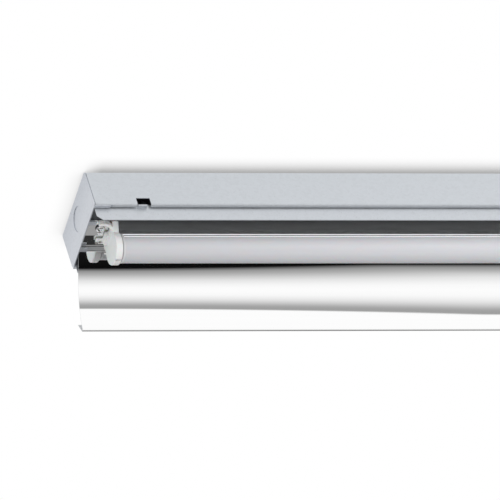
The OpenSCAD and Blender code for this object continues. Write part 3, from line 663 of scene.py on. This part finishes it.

# %% [markdown]
# ### Painted shade that changes with height
# The tube's aluminium back gets painted shade down its flanks, where it mirrors the dark tray, and the end
# caps get painted shade towards the ceiling. A ramp over the height, multiplied into the colour, gives both
# in one helper. The height is an Object coordinate, so the painted shade stays on the piece when the tube
# turns.

# %% Painted shade down the tube's flanks and on the tops of the end caps
def painted_shade_by_height(material, low, high, stops):
    """Paints shade into a finish's colour by the height on the light, between low and high in mm."""
    shader = material.node_tree.nodes["Principled BSDF"]
    parts = add_node(material, "ShaderNodeSeparateXYZ")
    join(material, pattern_place(material), parts.inputs[0])
    height = value_range(material, parts.outputs["Z"], 0.0, 1.0, low, high)
    color = shader.inputs["Base Color"].links[0].from_socket
    shade_painted_color = mix_colors(material, 1.0, color, tone_ramp(material, height, stops), "MULTIPLY")
    join(material, shade_painted_color, shader.inputs["Base Color"])
    print(material.name, "changes from", round(low, 1), "to", round(high, 1))


# Painted shade: the aluminium back darkens down its flanks, standing in for the dark tray that they mirror.
painted_shade_by_height(finishes["tube_aluminium"], lamp_z + 8, lamp_z + 13, [
    (0.14, (0.25,) * 3), (0.44, (0.38,) * 3), (0.7, (0.58,) * 3), (0.9, (0.85,) * 3), (1.0, (1.0,) * 3)
])
# Painted shade: the end caps darken towards the ceiling, where less light reaches them.
painted_shade_by_height(finishes["galvanised_cap"], -housing_h, 0, [(0.3, (1, 1, 1)), (1.0, (0.86, 0.87, 0.885))])

# %% [markdown]
# ### The frame's own nodes
# Many nodes already have the right shape, such as the leads, the terminal block and the clips. They stay
# as they are, and take the finish that the record names for them.

# %% Give every node its finish
slot_of = {part["node"]: part["material_slot"] for part in frame["record"]["subparts"]}
body_of = {name: body for body, names in frame["record"]["behaviour"]["bodies"].items() for name in names}
for name, node in nodes.items():
    node.data.materials.clear()
    node.data.materials.append(finishes[slot_of[name]])
    for polygon in node.data.polygons:
        polygon.material_index = 0
print("nodes with a finish:", len(slot_of))

# %% [markdown]
# ## The housing
# A strip of zinc-coated steel, folded five times: back, two walls and two narrow lips that stiffen the
# edges. The hook slots and the small relief notches were punched before folding, so they run through
# the wall and the lip in one go.

# %% Fold the housing
housing_corners = [
    (half_w - lip_w, -housing_h, 0), (half_w, -housing_h, fold_r), (half_w, 0, corner_r),
    (-half_w, 0, corner_r), (-half_w, -housing_h, fold_r), (lip_w - half_w, -housing_h, 0)
]
housing_end = half_l - cap_t - seam
housing = to_object(folded_sheet((-housing_end, housing_end), housing_corners, sheet_t), "housing_shell")
print("housing strip:", round(2 * housing_end, 1), "long with", len(housing.data.polygons), "faces")


# %% Punch the housing
def hook_slot():
    return block((slot_x, slot_x + slot_l), (-half_w - overrun, 4.0 - half_w),
                 (-housing_h - overrun, -slot_top))


def relief_notch():
    foot, outer = -housing_h - overrun, -half_w - overrun
    outline = [(notch_x, outer), (notch_x, -half_w), (notch_x + notch_w / 2, -half_w + notch_depth),
               (notch_x + notch_w, -half_w), (notch_x + notch_w, outer)]
    return prism([(x, y, foot) for x, y in outline], (0, 0, overrun + notch_rise))


def upright_hole(x, y, radius, z=(-6, 6)):
    return rod(*z, radius, (x, y, 0), upright=True, segments=64)


for turn in ENDS.values():
    for shape in (hook_slot(), relief_notch(), upright_hole(rivet_x, rivet_y, rivet_r)):
        cut(housing, at_end(gather(*both_sides(shape)), turn))
cut(housing, gather(upright_hole(-fixing_x, 0, fixing_r), upright_hole(fixing_x, 0, fixing_r),
                    upright_hole(0, 0, entry_r)))
finish_piece(housing, "housing")

# %% [markdown]
# ## The mirror reflector
# Half a millimetre of bright aluminium, roll-formed. From the near side it runs flat under the tray with
# a low ridge, turns down into the wing, which grows steeper towards its tip, and folds back there into a
# narrow return lip. The long soft curve of the wing is one more fold, only with a very large radius.

# %% Roll-form the reflector
mirror_t = 0.5
hem_z = reflector_high.z - mirror_t
near_fold, far_fold, ridge_h = -18.2, 15.8, 1.4
wing_root, root_r = 20.6, 1.5
wing_slopes, wing_radii = (41.0, 49.0, 77.0), (220.0, 80.5)
tip_r, lip_slope, return_w = 1.2, 70.0, 12.0
hem_cut_l, hem_cut_in = 24.0, 0.8


def along_slope(slope, length):
    """A step down the wing at that slope."""
    return Vector((math.cos(slope * DEGREE), -math.sin(slope * DEGREE))) * length


def wing_places():
    """The wing's corners: where its root, its two curves and its tip would meet if they weren't round."""
    back = root_r * math.tan(wing_slopes[0] / 2 * DEGREE)
    root = Vector((wing_root + back, hem_z))
    here = root_end = root + along_slope(wing_slopes[0], back)
    places = [(*root, root_r)]
    for slope, after, radius in zip(wing_slopes, wing_slopes[1:], wing_radii):
        back = radius * math.tan((after - slope) / 2 * DEGREE)
        corner = here + along_slope(slope, back)
        here = corner + along_slope(after, back)
        places.append((*corner, radius))
    back = tip_r * math.tan((wing_slopes[-1] + lip_slope) / 2 * DEGREE)
    tip = here + along_slope(wing_slopes[-1], back)
    lip_end = tip + along_slope(-lip_slope, back + return_w)
    return root_end, places + [(*tip, tip_r), (*lip_end, 0)]


root_end, wing_corners = wing_places()
mirror_corners = [(reflector_low.y, hem_z, 0), (near_fold, hem_z, 1.0), (0, hem_z - ridge_h, 1.0),
                  (far_fold, hem_z, 1.0), *wing_corners]
mirror_sheet = folded_sheet((reflector_low.x, reflector_high.x), mirror_corners, mirror_t)
reflector = to_object(mirror_sheet, "mirror_reflector")
print("wing corners:", [tuple(round(v, 2) for v in corner) for corner in wing_corners])

# %% Cut the reflector for the lampholders, the tray locks and its rivets
hem_rivet_r, hem_rivet_end, hem_rivet_count = 1.2, 60.0, 6
hem_rivet_step = 2 * (half_l - hem_rivet_end) / (hem_rivet_count - 1)
hem_rivet_places = [(i * hem_rivet_step + hem_rivet_end - half_l, y) for i in range(hem_rivet_count)
                    for y in ((reflector_low.y + near_fold) / 2, (far_fold + wing_root) / 2)]


def holder_window(z):
    gap = 0.1
    return block((stem_x - gap, stem_x + stem_l + gap), (-stem_w / 2 - gap, stem_w / 2 + gap), z)


def cut_for_fittings(piece, z):
    """The windows for the lampholders' stems, the holes for the locks and those for the rivets."""
    for turn in ENDS.values():
        cut(piece, at_end(gather(holder_window(z), upright_hole(lock_x, lock_y, 2.3, z)), turn))
    cut(piece, gather(*[upright_hole(x, y, hem_rivet_r, z) for x, y in hem_rivet_places]))


cut_for_fittings(reflector, (hem_z - 4, hem_z + 1))
for turn in ENDS.values():
    cut(reflector, at_end(block((0, hem_cut_l), (reflector_low.y - overrun, near_fold + hem_cut_in),
                                (hem_z - 3, hem_z + 1)), turn))
finish_piece(reflector, "reflector")
paint(reflector, "mirror_back", lambda middle, normal: normal.z > -0.05 or far_fold < middle.y < wing_root)

# %% [markdown]
# ## The gear tray
# The tray is a channel that sits upside down inside the housing and carries everything below it. Its
# near flange shows under the housing's edge as a plain strip with a slanted end. Four folded hooks
# reach out of it into the slots of the housing.

# %% Fold the gear tray
flange_y = half_w - 4.0
tray_t, tray_r = 0.8, 1.6
web_top = reflector_high.z + tray_t
tray_low, tray_high = node_box("gear_tray")
flange_low = tray_low.z + 0.35
hook_x, hook_l, hook_t, hook_r = 40.6, 8.3, 0.8, 1.0
hook_low, hook_high = -housing_h - 0.4, -housing_h + 0.8
cut_l, cut_top = 5.0, -49.1
stud_x, stud_y, stud_r = 112.0, 10.0, 2.1


def back_of_wing(y):
    """Height of the wing's back at a place across, under the foot of the tray's far flange."""
    slope, radius = wing_slopes[0] * DEGREE, wing_radii[0]
    centre = root_end - radius * Vector((math.sin(slope), math.cos(slope)))
    return centre.y + math.sqrt((radius + mirror_t) ** 2 - (y - centre.x) ** 2)


far_foot = back_of_wing(flange_y - tray_t) + 0.1
tray_corners = [(flange_y, far_foot, 0), (flange_y, web_top, tray_r), (-flange_y, web_top, tray_r),
                (-flange_y, flange_low, 0)]
tray = to_object(folded_sheet((tray_low.x, tray_high.x), tray_corners, tray_t), "gear_tray_folded")
print("tray: near flange down to", round(flange_low, 2), "and far foot at", round(far_foot, 2))


# %% Hooks, slanted ends and holes of the tray
def tray_hook():
    corners = [(-tray_high.y, hook_high, 0), (-tray_high.y, hook_low, hook_r),
               (-flange_y + tray_t / 2, hook_low, 0)]
    return folded_sheet((hook_x, hook_x + hook_l), corners, hook_t)


def slanted_end():
    x = half_l + tray_low.x
    reach = cut_l * (flange_low - overrun - cut_top) / (flange_low - cut_top)
    outline = [(x - overrun, cut_top), (x, cut_top), (x + reach, flange_low - overrun),
               (x - overrun, flange_low - overrun)]
    return prism([(x, -half_w, z) for x, z in outline], (0, 3 * sheet_t + lip_w, 0))


for turn in ENDS.values():
    unite(tray, at_end(gather(*both_sides(tray_hook())), turn))
    cut(tray, at_end(gather(*both_sides(slanted_end())), turn))
cut_for_fittings(tray, (hem_z - 1, web_top + 1))
cut(tray, upright_hole(stud_x, stud_y, stud_r, (hem_z, web_top + 1)))
finish_piece(tray, "gear_tray")
# Painted shade: the web's underside near its top takes the near-black zinc.
paint(tray, "painted_shade_zinc", lambda middle, normal: normal.z < -0.9 and middle.z > web_top - 2)

# %% [markdown]
# ## End caps
# A stamped plate closes each end. Its knockout is sheared half way through, so that it can be hit out
# for a conduit: only the sheared wall that faces the viewer shows, as a thin arc. Flanges reach
# inside the walls, two tabs are riveted to the housing's back, and small lips carry its edges.

# %% Stamp the end caps
knockout_r, knockout_z, knockout_depth = 11.5, -18.3, 0.55
# Each tab's reach inwards and its places across and in height: in the wall, riveted, below the wall
CAP_TABS = [(15.5, (-39.2, -38.4), (-36.5, -4)), (12, (-33, -19), (-1.8, -0.8)),
            (8, (-18.8, -14.2), (-40, -39.2))]
CAP_LIP = (0.1, 15), (-39.6, -36.6), (-40.6, -39.9)


def cap_plate():
    plate = block((0, cap_t), (-half_w, half_w), (-housing_h, 0))
    soften(plate, fold_r, lambda e: runs_along(e, "X") and e.verts[0].co.z < -housing_h / 2, 10)
    soften(plate, corner_r, lambda e: runs_along(e, "X") and e.verts[0].co.z > -1, 8)
    return soften(plate, 0.15, lambda e: all(v.co.x < cap_t / 4 for v in e.verts), 2)


def tab(x, y, z, soft=0.15):
    """A plate that starts inside the cap's thickness, and its other hand."""
    return both_sides(block((cap_t / 2, x), y, z, soft, 2))


def knockout(start, stop, radius):
    return rod(start, stop, radius, (0, 0, knockout_z))


for side, turn in ENDS.items():
    cap = to_object(cap_plate(), f"end_cap_plate_{side}")
    unite(cap, gather(*[shape for places in CAP_TABS for shape in tab(*places)]))
    unite(cap, gather(*both_sides(block(*CAP_LIP, 0.2, 3))))
    cut(cap, knockout(-1, knockout_depth, knockout_r))
    unite(cap, knockout(knockout_depth + 0.2, cap_t + knockout_depth, knockout_r - 0.2))
    cut(cap, gather(*both_sides(upright_hole(rivet_x, rivet_y, rivet_r))))
    cap.data.transform(end_place(turn))
    finish_piece(cap, f"end_cap_{side}")


# %% Rivets with domed heads
def domed_head(radius, height, steps=8):
    """Lathe points of a dome from its crown at zero down to its rim."""
    ball = (radius ** 2 + height ** 2) / (2 * height)
    across = [radius * i / steps for i in range(steps + 1)]
    return [(ball - math.sqrt(ball ** 2 - r ** 2), r) for r in across]


def rivet(x, y, top, base, shank_r, head_r, head_h, tail_h=0.0):
    """A rivet from its domed head below base up to top, where its tail may spread."""
    points = [(base - head_h + z, r) for z, r in domed_head(head_r, head_h * 0.85)]
    points += [(base, head_r), (base, shank_r)]
    if tail_h:
        points += [(top - tail_h, shank_r), (top - tail_h, head_r), (top, head_r * 0.8)]
    else:
        points += [(top, shank_r)]
    return lathe(points + [(top, 0)], (x, y, 0), upright=True, segments=32)


cap_rivets = gather(*[at_end(shape, turn) for turn in ENDS.values()
                      for shape in both_sides(rivet(rivet_x, -rivet_y, -0.05, -1.8, 1.55, 3.0, 0.9))])
finish_piece(to_object(cap_rivets, "end_cap_rivets_domed"), "end_cap_rivets")
hem_rivets = gather(*[rivet(x, y, web_top + 0.5, hem_z, 1.15, 2.0, 0.5, 0.5) for x, y in hem_rivet_places])
finish_piece(to_object(hem_rivets, "reflector_rivets_domed"), "reflector_rivets")

# %% [markdown]
# ## The LED tube
# The tube's back is an aluminium extrusion, and a frosted diffuser snaps round its front. Their seams
# run the whole length on both sides. Two round caps with a soft rim close the ends and hold the pins.

# %% Draw the diffuser and the aluminium back
seam_angle, lip_angle, glass_t, back_t = 166.0, 146.0, 1.0, 1.2
groove_r = lamp_r - 0.45
shelf_low, shelf_high = -49.9, -48.9
RING_STEP = 2.5


def on_lamp(angle, radius):
    """A place (y, z) round the lamp's axis: 0 is far, 90 is up."""
    return Vector((radius * math.cos(angle * DEGREE), lamp_z + radius * math.sin(angle * DEGREE)))


def shell_of_tube(x_range, start, stop, outer, inner, soft=0.0):
    """An arc of the tube's wall between two radii, with the edges of its outer face rounded by soft."""
    bm = bmesh.new()
    edge = bm.edges.new([bm.verts.new((x, *on_lamp(start, outer))) for x in x_range])
    turn = stop - start
    bmesh.ops.spin(bm, geom=[edge], cent=(0, 0, lamp_z), axis=(1, 0, 0), dvec=(0, 0, 0), angle=turn * DEGREE,
                   steps=math.ceil(turn / RING_STEP), use_merge=False, use_duplicate=False)
    look_right(bm, on_lamp(start, outer), on_lamp(start + 1, outer))
    bmesh.ops.solidify(bm, geom=bm.faces[:], thickness=outer - inner)
    rims = [on_lamp(angle, outer) for angle in (start, stop)]
    return soften(bm, soft, lambda e: runs_along(e, "X") and any(
        (e.verts[0].co.yz - rim).length < FOLD_TOLERANCE for rim in rims), 3) if soft else bm


tube_x = (diffuser_low.x, diffuser_high.x)
diffuser = to_object(shell_of_tube(tube_x, seam_angle + 1, 539 - seam_angle, lamp_r, lamp_r - glass_t, 0.15),
                     "diffuser_shell")
for shape in both_sides(shell_of_tube(tube_x, lip_angle + 1, seam_angle + 4, groove_r, groove_r - 0.3)):
    unite(diffuser, shape)
for shape in both_sides(shell_of_tube(tube_x, lip_angle, seam_angle - 8.0, lamp_r, groove_r - 0.1, 0.12)):
    unite(diffuser, shape)
finish_piece(diffuser, "tube_diffuser")
# Painted highlight on the outer faces of the rims beside the seams.
paint(diffuser, "diffuser_painted_glint", lambda middle, normal: middle.z > on_lamp(seam_angle + 6, lamp_r).y
      and (middle.yz - on_lamp(0, 0)).length > lamp_r - 0.2)
# Painted shade in the seam: the groove's faces take the aluminium finish, whose painted shade by height makes
# them dark.
paint(diffuser, "tube_aluminium", lambda middle, normal: middle.z > on_lamp(seam_angle, lamp_r).y
      and abs((middle.yz - on_lamp(0, 0)).length - groove_r) < 0.1)
flanks = shell_of_tube(tube_x, 180.5 - lip_angle, lip_angle - 0.5, lamp_r, lamp_r - back_t, 0.2)
back = to_object(flanks, "tube_back")
unite(back, shell_of_tube(tube_x, 180 - seam_angle, seam_angle, groove_r - 0.32, groove_r - 0.75))
shelf_y = (lamp_r - back_t) * math.cos((180 - seam_angle) * DEGREE)
unite(back, block(tube_x, (-shelf_y - 0.2, shelf_y + 0.2), (shelf_low, shelf_high)))
finish_piece(back, "tube_heat_sink")

# %% Turn the tube's caps and pins
pin_y, pin_r, pin_l = 6.35, 1.175, 6.6
disc_end, sleeve_end = end_room + 2, end_room + 13.9
sleeve_r, sleeve_inner = 11.7, 10.7
for side, turn in ENDS.items():
    rim = [(end_room, 0), (end_room, lamp_r), (disc_end, lamp_r), (disc_end, sleeve_r),
           (sleeve_end, sleeve_r), (sleeve_end, sleeve_inner), (disc_end, sleeve_inner), (disc_end, 0)]
    turned = lathe(soft_profile(rim, [0.5, 0, 0, 0.3, 0, 0]), (0, 0, lamp_z))
    cap = to_object(turned, f"tube_cap_turned_{side}")
    for y in (-pin_y, pin_y):
        cut(cap, rod(end_room - 1, end_room + 3, pin_r, (0, y, lamp_z), segments=32))
    cut(cap, block((disc_end, sleeve_end + 1.1), (-lamp_r, lamp_r), (shelf_low - 0.1, shelf_high + 0.1)))
    cap.data.transform(end_place(turn))
    finish_piece(cap, f"tube_cap_{side}")
    tip, root, turned_r = end_room - pin_l, end_room + 4, pin_r - 0.02
    pin = soft_profile([(tip, 0), (tip, turned_r), (root, turned_r), (root, 0)], [0.5, 0.2])
    pins = gather(*[lathe(pin, (0, y, lamp_z), segments=32) for y in (-pin_y, pin_y)])
    finish_piece(to_object(at_end(pins, turn), f"tube_pins_turned_{side}"), f"tube_pins_{side}")

# %% [markdown]
# ## The lampholders
# A rotary lampholder is one white moulding: a round head with a soft rim, a collar that meets the
# tube, a neck, a stem that snaps into the tray, and a C-shaped foot that wraps the tray lock. A domed
# cover closes its back, and a rotor inside turns with the pins.

# %% Foot, neck and stem of a lampholder
head_x, head_r, head_t = 22.1, 14.7, 5.9
front = end_room - 0.3
roof = hem_z - ridge_h - 0.3
foot_inner, foot_outer, foot_h, foot_from, foot_to = 8.0, 11.0, 4.6, -118, 28
rotor_r, pocket_x = 7.7, head_x + 0.3
dome_r, dome_h = 4.3, 3.4
clip_y, shroud_y, shroud_h = 7.6, 5.5, 6.5


def c_foot():
    """The C-shaped foot: a soft-edged section, swept part of the way round the lock."""
    bm = bmesh.new()
    low, high, soft = roof - foot_h, roof, 0.6
    outline = [(foot_inner, high), (foot_inner, low), (foot_outer, low), (foot_outer, high)]
    points = soft_profile(outline, [soft, soft])
    face = bm.faces.new([bm.verts.new((r, 0, z)) for r, z in points])
    bmesh.ops.rotate(bm, verts=bm.verts[:], cent=(0, 0, 0),
                     matrix=Matrix.Rotation(foot_from * DEGREE, 3, "Z"))
    bmesh.ops.spin(bm, geom=[face], cent=(0, 0, 0), axis=(0, 0, 1), dvec=(0, 0, 0), steps=48,
                   angle=(foot_to - foot_from) * DEGREE, use_merge=False, use_duplicate=False)
    bmesh.ops.recalc_face_normals(bm, faces=bm.faces[:])
    bmesh.ops.translate(bm, verts=bm.verts[:], vec=(lock_x, lock_y, 0))
    return bm


def neck():
    """The neck between the round head and the tray: wide at its top on the near side."""
    outline = [(-18.4, roof), (head_r - 0.2, roof), (13, -46), (0, lamp_z), (-13, -46)]
    made = prism([(head_x + 0.05, y, z) for y, z in outline], (head_t - 0.1, 0, 0))
    return soften(made, 0.6, lambda e: True, 3)


def contact_space():
    y = rotor_r + 0.1
    return block((pocket_x + 0.9, pocket_x + 5.7), (-y - 0.5, -y + 0.1), (lamp_z - 3.1, lamp_z + 8.1))


def holder_shapes():
    """What grows out of the head: neck, stem, the stem's clip, foot, shroud and the terminals' shelf."""
    along, top = (stem_x, stem_x + stem_l), -31
    return [neck(), block(along, (-stem_w / 2, stem_w / 2), (lamp_z, top), 0.3),
            block(along, (-clip_y, clip_y), (web_top + 0.1, top - 0.1), 0.4), c_foot(),
            block((head_x - 3.6, head_x + 1), (-shroud_y, shroud_y), (roof - shroud_h, roof - 0.02), 0.5),
            block((head_x - 9.5, head_x + 1), (2.5, 8.5), (roof - 2.4, roof - 0.04), 0.4)]


print("lampholder head from", head_x, "to", round(front, 2), "with a radius of", head_r)

# %% Mould the lampholders
EYELETS = [(13.5, 6.9), (16.4, 5.5)]
for side, turn in ENDS.items():
    head = [(head_x, 0), (head_x, head_r), (head_x + head_t, head_r), (head_x + head_t, lamp_r - 0.1),
            (front, lamp_r - 0.1), (front, 0)]
    holder = to_object(lathe(soft_profile(head, [0.6, 0.7, 0.2, 0.5]), (0, 0, lamp_z), segments=128),
                       f"lampholder_moulding_{side}")
    unite(holder, *holder_shapes())
    cut(holder, rod(pocket_x, front + 1, rotor_r + 0.05, (0, 0, lamp_z)))
    cut(holder, block((pocket_x, front + 1), (-1.375, 1.375), (lamp_z - head_r - 1, lamp_z)))
    cut(holder, gather(*both_sides(contact_space())))
    cut(holder, gather(*[upright_hole(x, y, 1.45, (roof - 4, roof - 1.4)) for x, y in EYELETS]))
    cut(holder, upright_hole(lock_x, lock_y, dome_r + 0.3, (roof - 8, roof + 1)))
    holder.data.transform(end_place(turn))
    finish_piece(holder, f"lampholder_{side}")
    paint(holder, "tube_cap_plastic", lambda middle, normal: half_l - abs(middle.x) > head_x + head_t + 0.1)


# %% Covers, rotors and terminals
for side, turn in ENDS.items():
    cover_r = head_r - 0.9
    dome = [(head_x - 0.45 + x, r) for x, r in domed_head(cover_r, 0.25, 16)]
    cover = to_object(lathe(dome + [(head_x - 0.1, cover_r), (head_x, cover_r - 0.1), (head_x, 0)],
                            (0, 0, lamp_z), segments=128), f"lampholder_cover_domed_{side}")
    room = shroud_y + 0.1
    cut(cover, block((head_x - 3, head_x + 1), (-room, room), (roof - shroud_h - 0.1, roof + 2)))
    cover.data.transform(end_place(turn))
    finish_piece(cover, f"lampholder_cover_{side}")

    outline = [(pocket_x + 0.1, 0), (pocket_x + 0.1, rotor_r), (front - 0.1, rotor_r), (front - 0.1, 0)]
    rotor = to_object(lathe(soft_profile(outline, [0, 0.3]), (0, 0, lamp_z)), f"rotor_turned_{side}")
    cut(rotor, block((pocket_x + 0.45, front + 1), (-9, 9), (lamp_z - pin_r - 0.1, lamp_z + pin_r + 0.1)))
    rotor.data.transform(end_place(turn))
    finish_piece(rotor, f"rotor_{side}")

    tops = (roof - 3, roof - 1.4)
    ring = [(tops[0], 0.75), (tops[0], 1.4), (tops[1], 1.4), (tops[1], 0.75)]
    eyelets = gather(*[lathe(soft_profile(ring, [0.3, 0.1]) + [ring[0]], (x, y, 0), upright=True, segments=32)
                       for x, y in EYELETS])
    finish_piece(to_object(at_end(eyelets, turn), f"eyelets_{side}"), f"terminals_{side}")

# %% [markdown]
# ## The tray locks and the grommet
# A quarter turn of the chromed head swings a cross bar over the lock bracket and holds the tray. The
# head is a polished dome with a slot for a coin or a screwdriver. The grommet is soft black rubber.

# %% Turn the tray locks
for side, turn in ENDS.items():
    base = hem_z - ridge_h - 0.1
    dome = [(base - dome_h + z, r) for z, r in domed_head(dome_r, dome_h - 0.2, 14)]
    lock = to_object(lathe(dome + [(base, dome_r), (base, 2.0), (-29.5, 2.0), (-29.5, 0)],
                           (lock_x, lock_y, 0), upright=True), f"tray_lock_turned_{side}")
    unite(lock, block((lock_x - 6, lock_x + 6), (lock_y - 1.5, lock_y + 1.5), (-30.7, -28.7), 0.3))
    slot = block((-6, 6), (-0.5, 0.5), (base - dome_h - 1, base - dome_h + 1.4))
    slot.transform(Matrix.Translation((lock_x, lock_y, 0)) @ Matrix.Rotation(50 * DEGREE, 4, "Z"))
    cut(lock, slot)
    lock.data.transform(end_place(turn))
    finish_piece(lock, f"tray_lock_{side}")

# %% Mould the grommet
rim = [(-0.85, 5.0), (-5.8, 5.0), (-5.8, 7.0), (-2.3, 7.0), (-2.3, 12.15), (-0.8, 12.15), (-0.8, 10.15),
       (-0.05, 10.15), (-0.05, 5.0)]
grommet = lathe(soft_profile(rim, [0.4, 0.6, 0.4, 0.6, 0.2, 0.1, 0.2]) + [rim[0]], upright=True)
finish_piece(to_object(grommet, "grommet_moulded"), "cable_grommet")

# %% [markdown]
# ## The stage
# The light hangs from a white ceiling, seen from below. The ceiling and the floor are plain planes, and
# only the camera sees them, so that they don't change the light. Ambient Occlusion darkens the ceiling
# close to the housing, as a soft contact shadow does.

# %% Stage
def stage_plane(name, z, half_side, faces_down):
    bm = bmesh.new()
    bmesh.ops.create_grid(bm, x_segments=1, y_segments=1, size=half_side)
    bmesh.ops.translate(bm, verts=bm.verts[:], vec=(0, 0, z))
    if faces_down:
        bmesh.ops.reverse_faces(bm, faces=bm.faces[:])
    plane = to_object(bm, name)
    plane.visible_glossy = False
    plane.visible_diffuse = False
    plane.visible_shadow = False
    plane.visible_transmission = False
    return plane


def seen_from_front(material, shader_output):
    """The plane shows its front only: from behind, the camera looks through it."""
    output = material.node_tree.nodes["Material Output"]
    see = add_node(material, "ShaderNodeBsdfTransparent")
    side = add_node(material, "ShaderNodeNewGeometry")
    mix = add_node(material, "ShaderNodeMixShader")
    join(material, side.outputs["Backfacing"], mix.inputs[0])
    join(material, shader_output, mix.inputs[1])
    join(material, see.outputs[0], mix.inputs[2])
    join(material, mix.outputs[0], output.inputs["Surface"])


# How the contact shade fades: the open share of the view, and the shade's share of its darkest there
SHADE = [(0.5, 1.0), (0.7, 0.46), (0.9, 0.09), (1.0, 0.0)]


def white_with_contact_shade(name, reach, darkest):
    """A white surface that darkens softly within reach of what it touches, and less past the left end."""
    material = bpy.data.materials.new(name)
    material.use_nodes = True
    near = add_node(material, "ShaderNodeAmbientOcclusion", Distance=reach)
    near.samples = 16
    stops = [(at, (1 - (1 - darkest) * share,) * 3) for at, share in SHADE]
    tone = tone_ramp(material, near.outputs["AO"], stops)
    parts = add_node(material, "ShaderNodeSeparateXYZ")
    join(material, pattern_place(material), parts.inputs[0])
    share = value_range(material, parts.outputs["X"], 0.3, 1.0, -half_l - 3, 16 - half_l)
    glow = add_node(material, "ShaderNodeEmission")
    join(material, mix_colors(material, share, (1, 1, 1, 1), tone), glow.inputs["Color"])
    seen_from_front(material, glow.outputs[0])
    return material


ceiling = stage_plane("ceiling", 0.0003, 40, True)
ceiling.data.materials.append(white_with_contact_shade("ceiling paint", 0.02, 0.42))
floor = stage_plane("floor", cad_low.z - 0.002, 40, False)
floor.data.materials.append(white_with_contact_shade("floor", 0.05, 0.6))
print("stage:", ceiling.name, "above and", floor.name, "below")


# %% [markdown]
# ## The studio
# A mirror shows what stands round it, so the world is drawn as a studio: an even level for plain
# surfaces, and for mirrors a white tent with a dark side below, which gives the polished wing its bright
# sweep and its black edge. The tent is one ramp over the angle round the light. Its bands fan out
# slightly along the light, as they do in a tent that isn't endless. The camera sees plain white.

# %% World
def maths(world, operation, *terms):
    """One sum in the world's nodes, from numbers and other nodes' outputs."""
    node = add_node(world, "ShaderNodeMath", operation=operation)
    for term, socket in zip(terms, node.inputs):
        join(world, term, socket)
    return node.outputs[0]


# The fan of the bands: the angle that it opens about, where along X it opens, how much, and its limits
FAN_ANGLE, FAN_X, FAN_SHARE, FAN_POWER, FAN_LIMITS = 216, (0.3295, 0.3561), 0.25, 1.5, (-9, 1.8)


def spread_with_x(world, x, share):
    """The tent's bands fan out about one angle: they spread as the mirrored ray turns along X."""
    spread = maths(world, "POWER", value_range(world, x, 0.0, 1.0, *FAN_X), FAN_POWER)
    away = maths(world, "MULTIPLY", maths(world, "SUBTRACT", share, FAN_ANGLE / 360), FAN_SHARE)
    shift = maths(world, "MINIMUM", maths(world, "MULTIPLY", away, spread), FAN_LIMITS[1] / 360)
    return maths(world, "SUBTRACT", share, maths(world, "MAXIMUM", shift, FAN_LIMITS[0] / 360))


# The level of the tent at each angle round the light: 0 is far, 90 is up and 270 is down
TENT_LEVELS = [
    (0, 0.95), (190.95, 1.0), (191.25, 0.345), (194, 0.365), (196, 0.418), (197.2, 0.49), (199.7, 0.631),
    (202.25, 0.766), (204.8, 0.868), (208.5, 0.965), (213.45, 1.0), (218, 0.975), (219.5, 0.89),
    (220.9, 0.777), (222.7, 0.552), (223.6, 0.435), (225.05, 0.298), (225.5, 0.16), (225.75, 0.02),
    (226.1, 0.003), (236, 0.01), (244, 0.55), (266, 0.55), (270, 0.03), (304.6, 0.03), (305.6, 0.32),
    (309, 0.32), (316, 0.21), (324, 0.3), (332, 0.95)
]


STUDIO_LEVEL = (0.62, 0.625, 0.63)


def studio_world():
    world = bpy.data.worlds.new("studio")
    world.use_nodes = True
    scene.world = world
    parts = add_node(world, "ShaderNodeSeparateXYZ")
    join(world, add_node(world, "ShaderNodeTexCoord").outputs["Generated"], parts.inputs[0])
    angle = maths(world, "ARCTAN2", parts.outputs["Z"], parts.outputs["Y"])
    share = maths(world, "WRAP", maths(world, "DIVIDE", angle, 2 * math.pi), 1.0, 0.0)
    place = spread_with_x(world, parts.outputs["X"], share)
    tent = tone_ramp(world, place, [(at / 360, (level,) * 3) for at, level in TENT_LEVELS])
    path = add_node(world, "ShaderNodeLightPath").outputs
    unseen = mix_colors(world, path["Is Glossy Ray"], (*STUDIO_LEVEL, 1), tent)
    direct = maths(world, "MAXIMUM", path["Is Camera Ray"], path["Is Transmission Ray"])
    seen = mix_colors(world, direct, unseen, (1, 1, 1, 1))
    join(world, seen, world.node_tree.nodes["Background"].inputs["Color"])
    print("studio:", len(TENT_LEVELS), "levels in the tent, plain level", STUDIO_LEVEL)


studio_world()


# %% [markdown]
# ## Lamps and camera
# Three large soft lamps give the steel its tones: a key from the left end, a weak fill from below and a
# top lamp for the back. No mirror shows them. The camera stands far away with a long lens, because the
# edges of the light stay nearly parallel in the picture.

# %% Lamps
def soft_lamp(name, place, target, size, power):
    data = bpy.data.lights.new(name, "AREA")
    data.shape = "RECTANGLE"
    data.size, data.size_y = size
    data.energy = power
    lamp = bpy.data.objects.new(name, data)
    lamp.location = place
    lamp.rotation_euler = (Vector(target) - Vector(place)).to_track_quat("-Z", "Y").to_euler()
    lamp.visible_glossy = False
    scene.collection.objects.link(lamp)
    print(name, "lamp:", power, "W")


soft_lamp("key", (-3.6, -1.2, -0.9), (-0.3, 0, -0.04), (1.6, 1.6), 33)
soft_lamp("fill", (0.1, -0.75, -0.45), (-0.2, 0, -0.04), (0.7, 0.7), 4.7)
soft_lamp("top", (0.5, 1.5, 2.5), (0, 0, -0.04), (2.0, 2.0), 60)

# %% Camera
camera_target = Vector((-0.4788, 0, -0.0556))
view_way = Vector((0.3403, 0.6758, 0.6542)).normalized()
view_up = Vector((0, -0.6955, 0.7185)).normalized()
view_right = view_way.cross(view_up)
camera_data = bpy.data.cameras.new("camera")
camera_data.sensor_width = 36
camera_data.lens = 989
camera_data.clip_start, camera_data.clip_end = 1, 200
camera = bpy.data.objects.new("camera", camera_data)
turn = Matrix((view_right, view_up, -view_way)).transposed()
camera.matrix_world = Matrix.Translation(camera_target - 12 * view_way) @ turn.to_4x4()
scene.collection.objects.link(camera)
scene.camera = camera
scene.view_settings.view_transform = "Standard"
print("camera at", [round(v, 3) for v in camera.matrix_world.translation], "with", camera_data.lens, "mm")
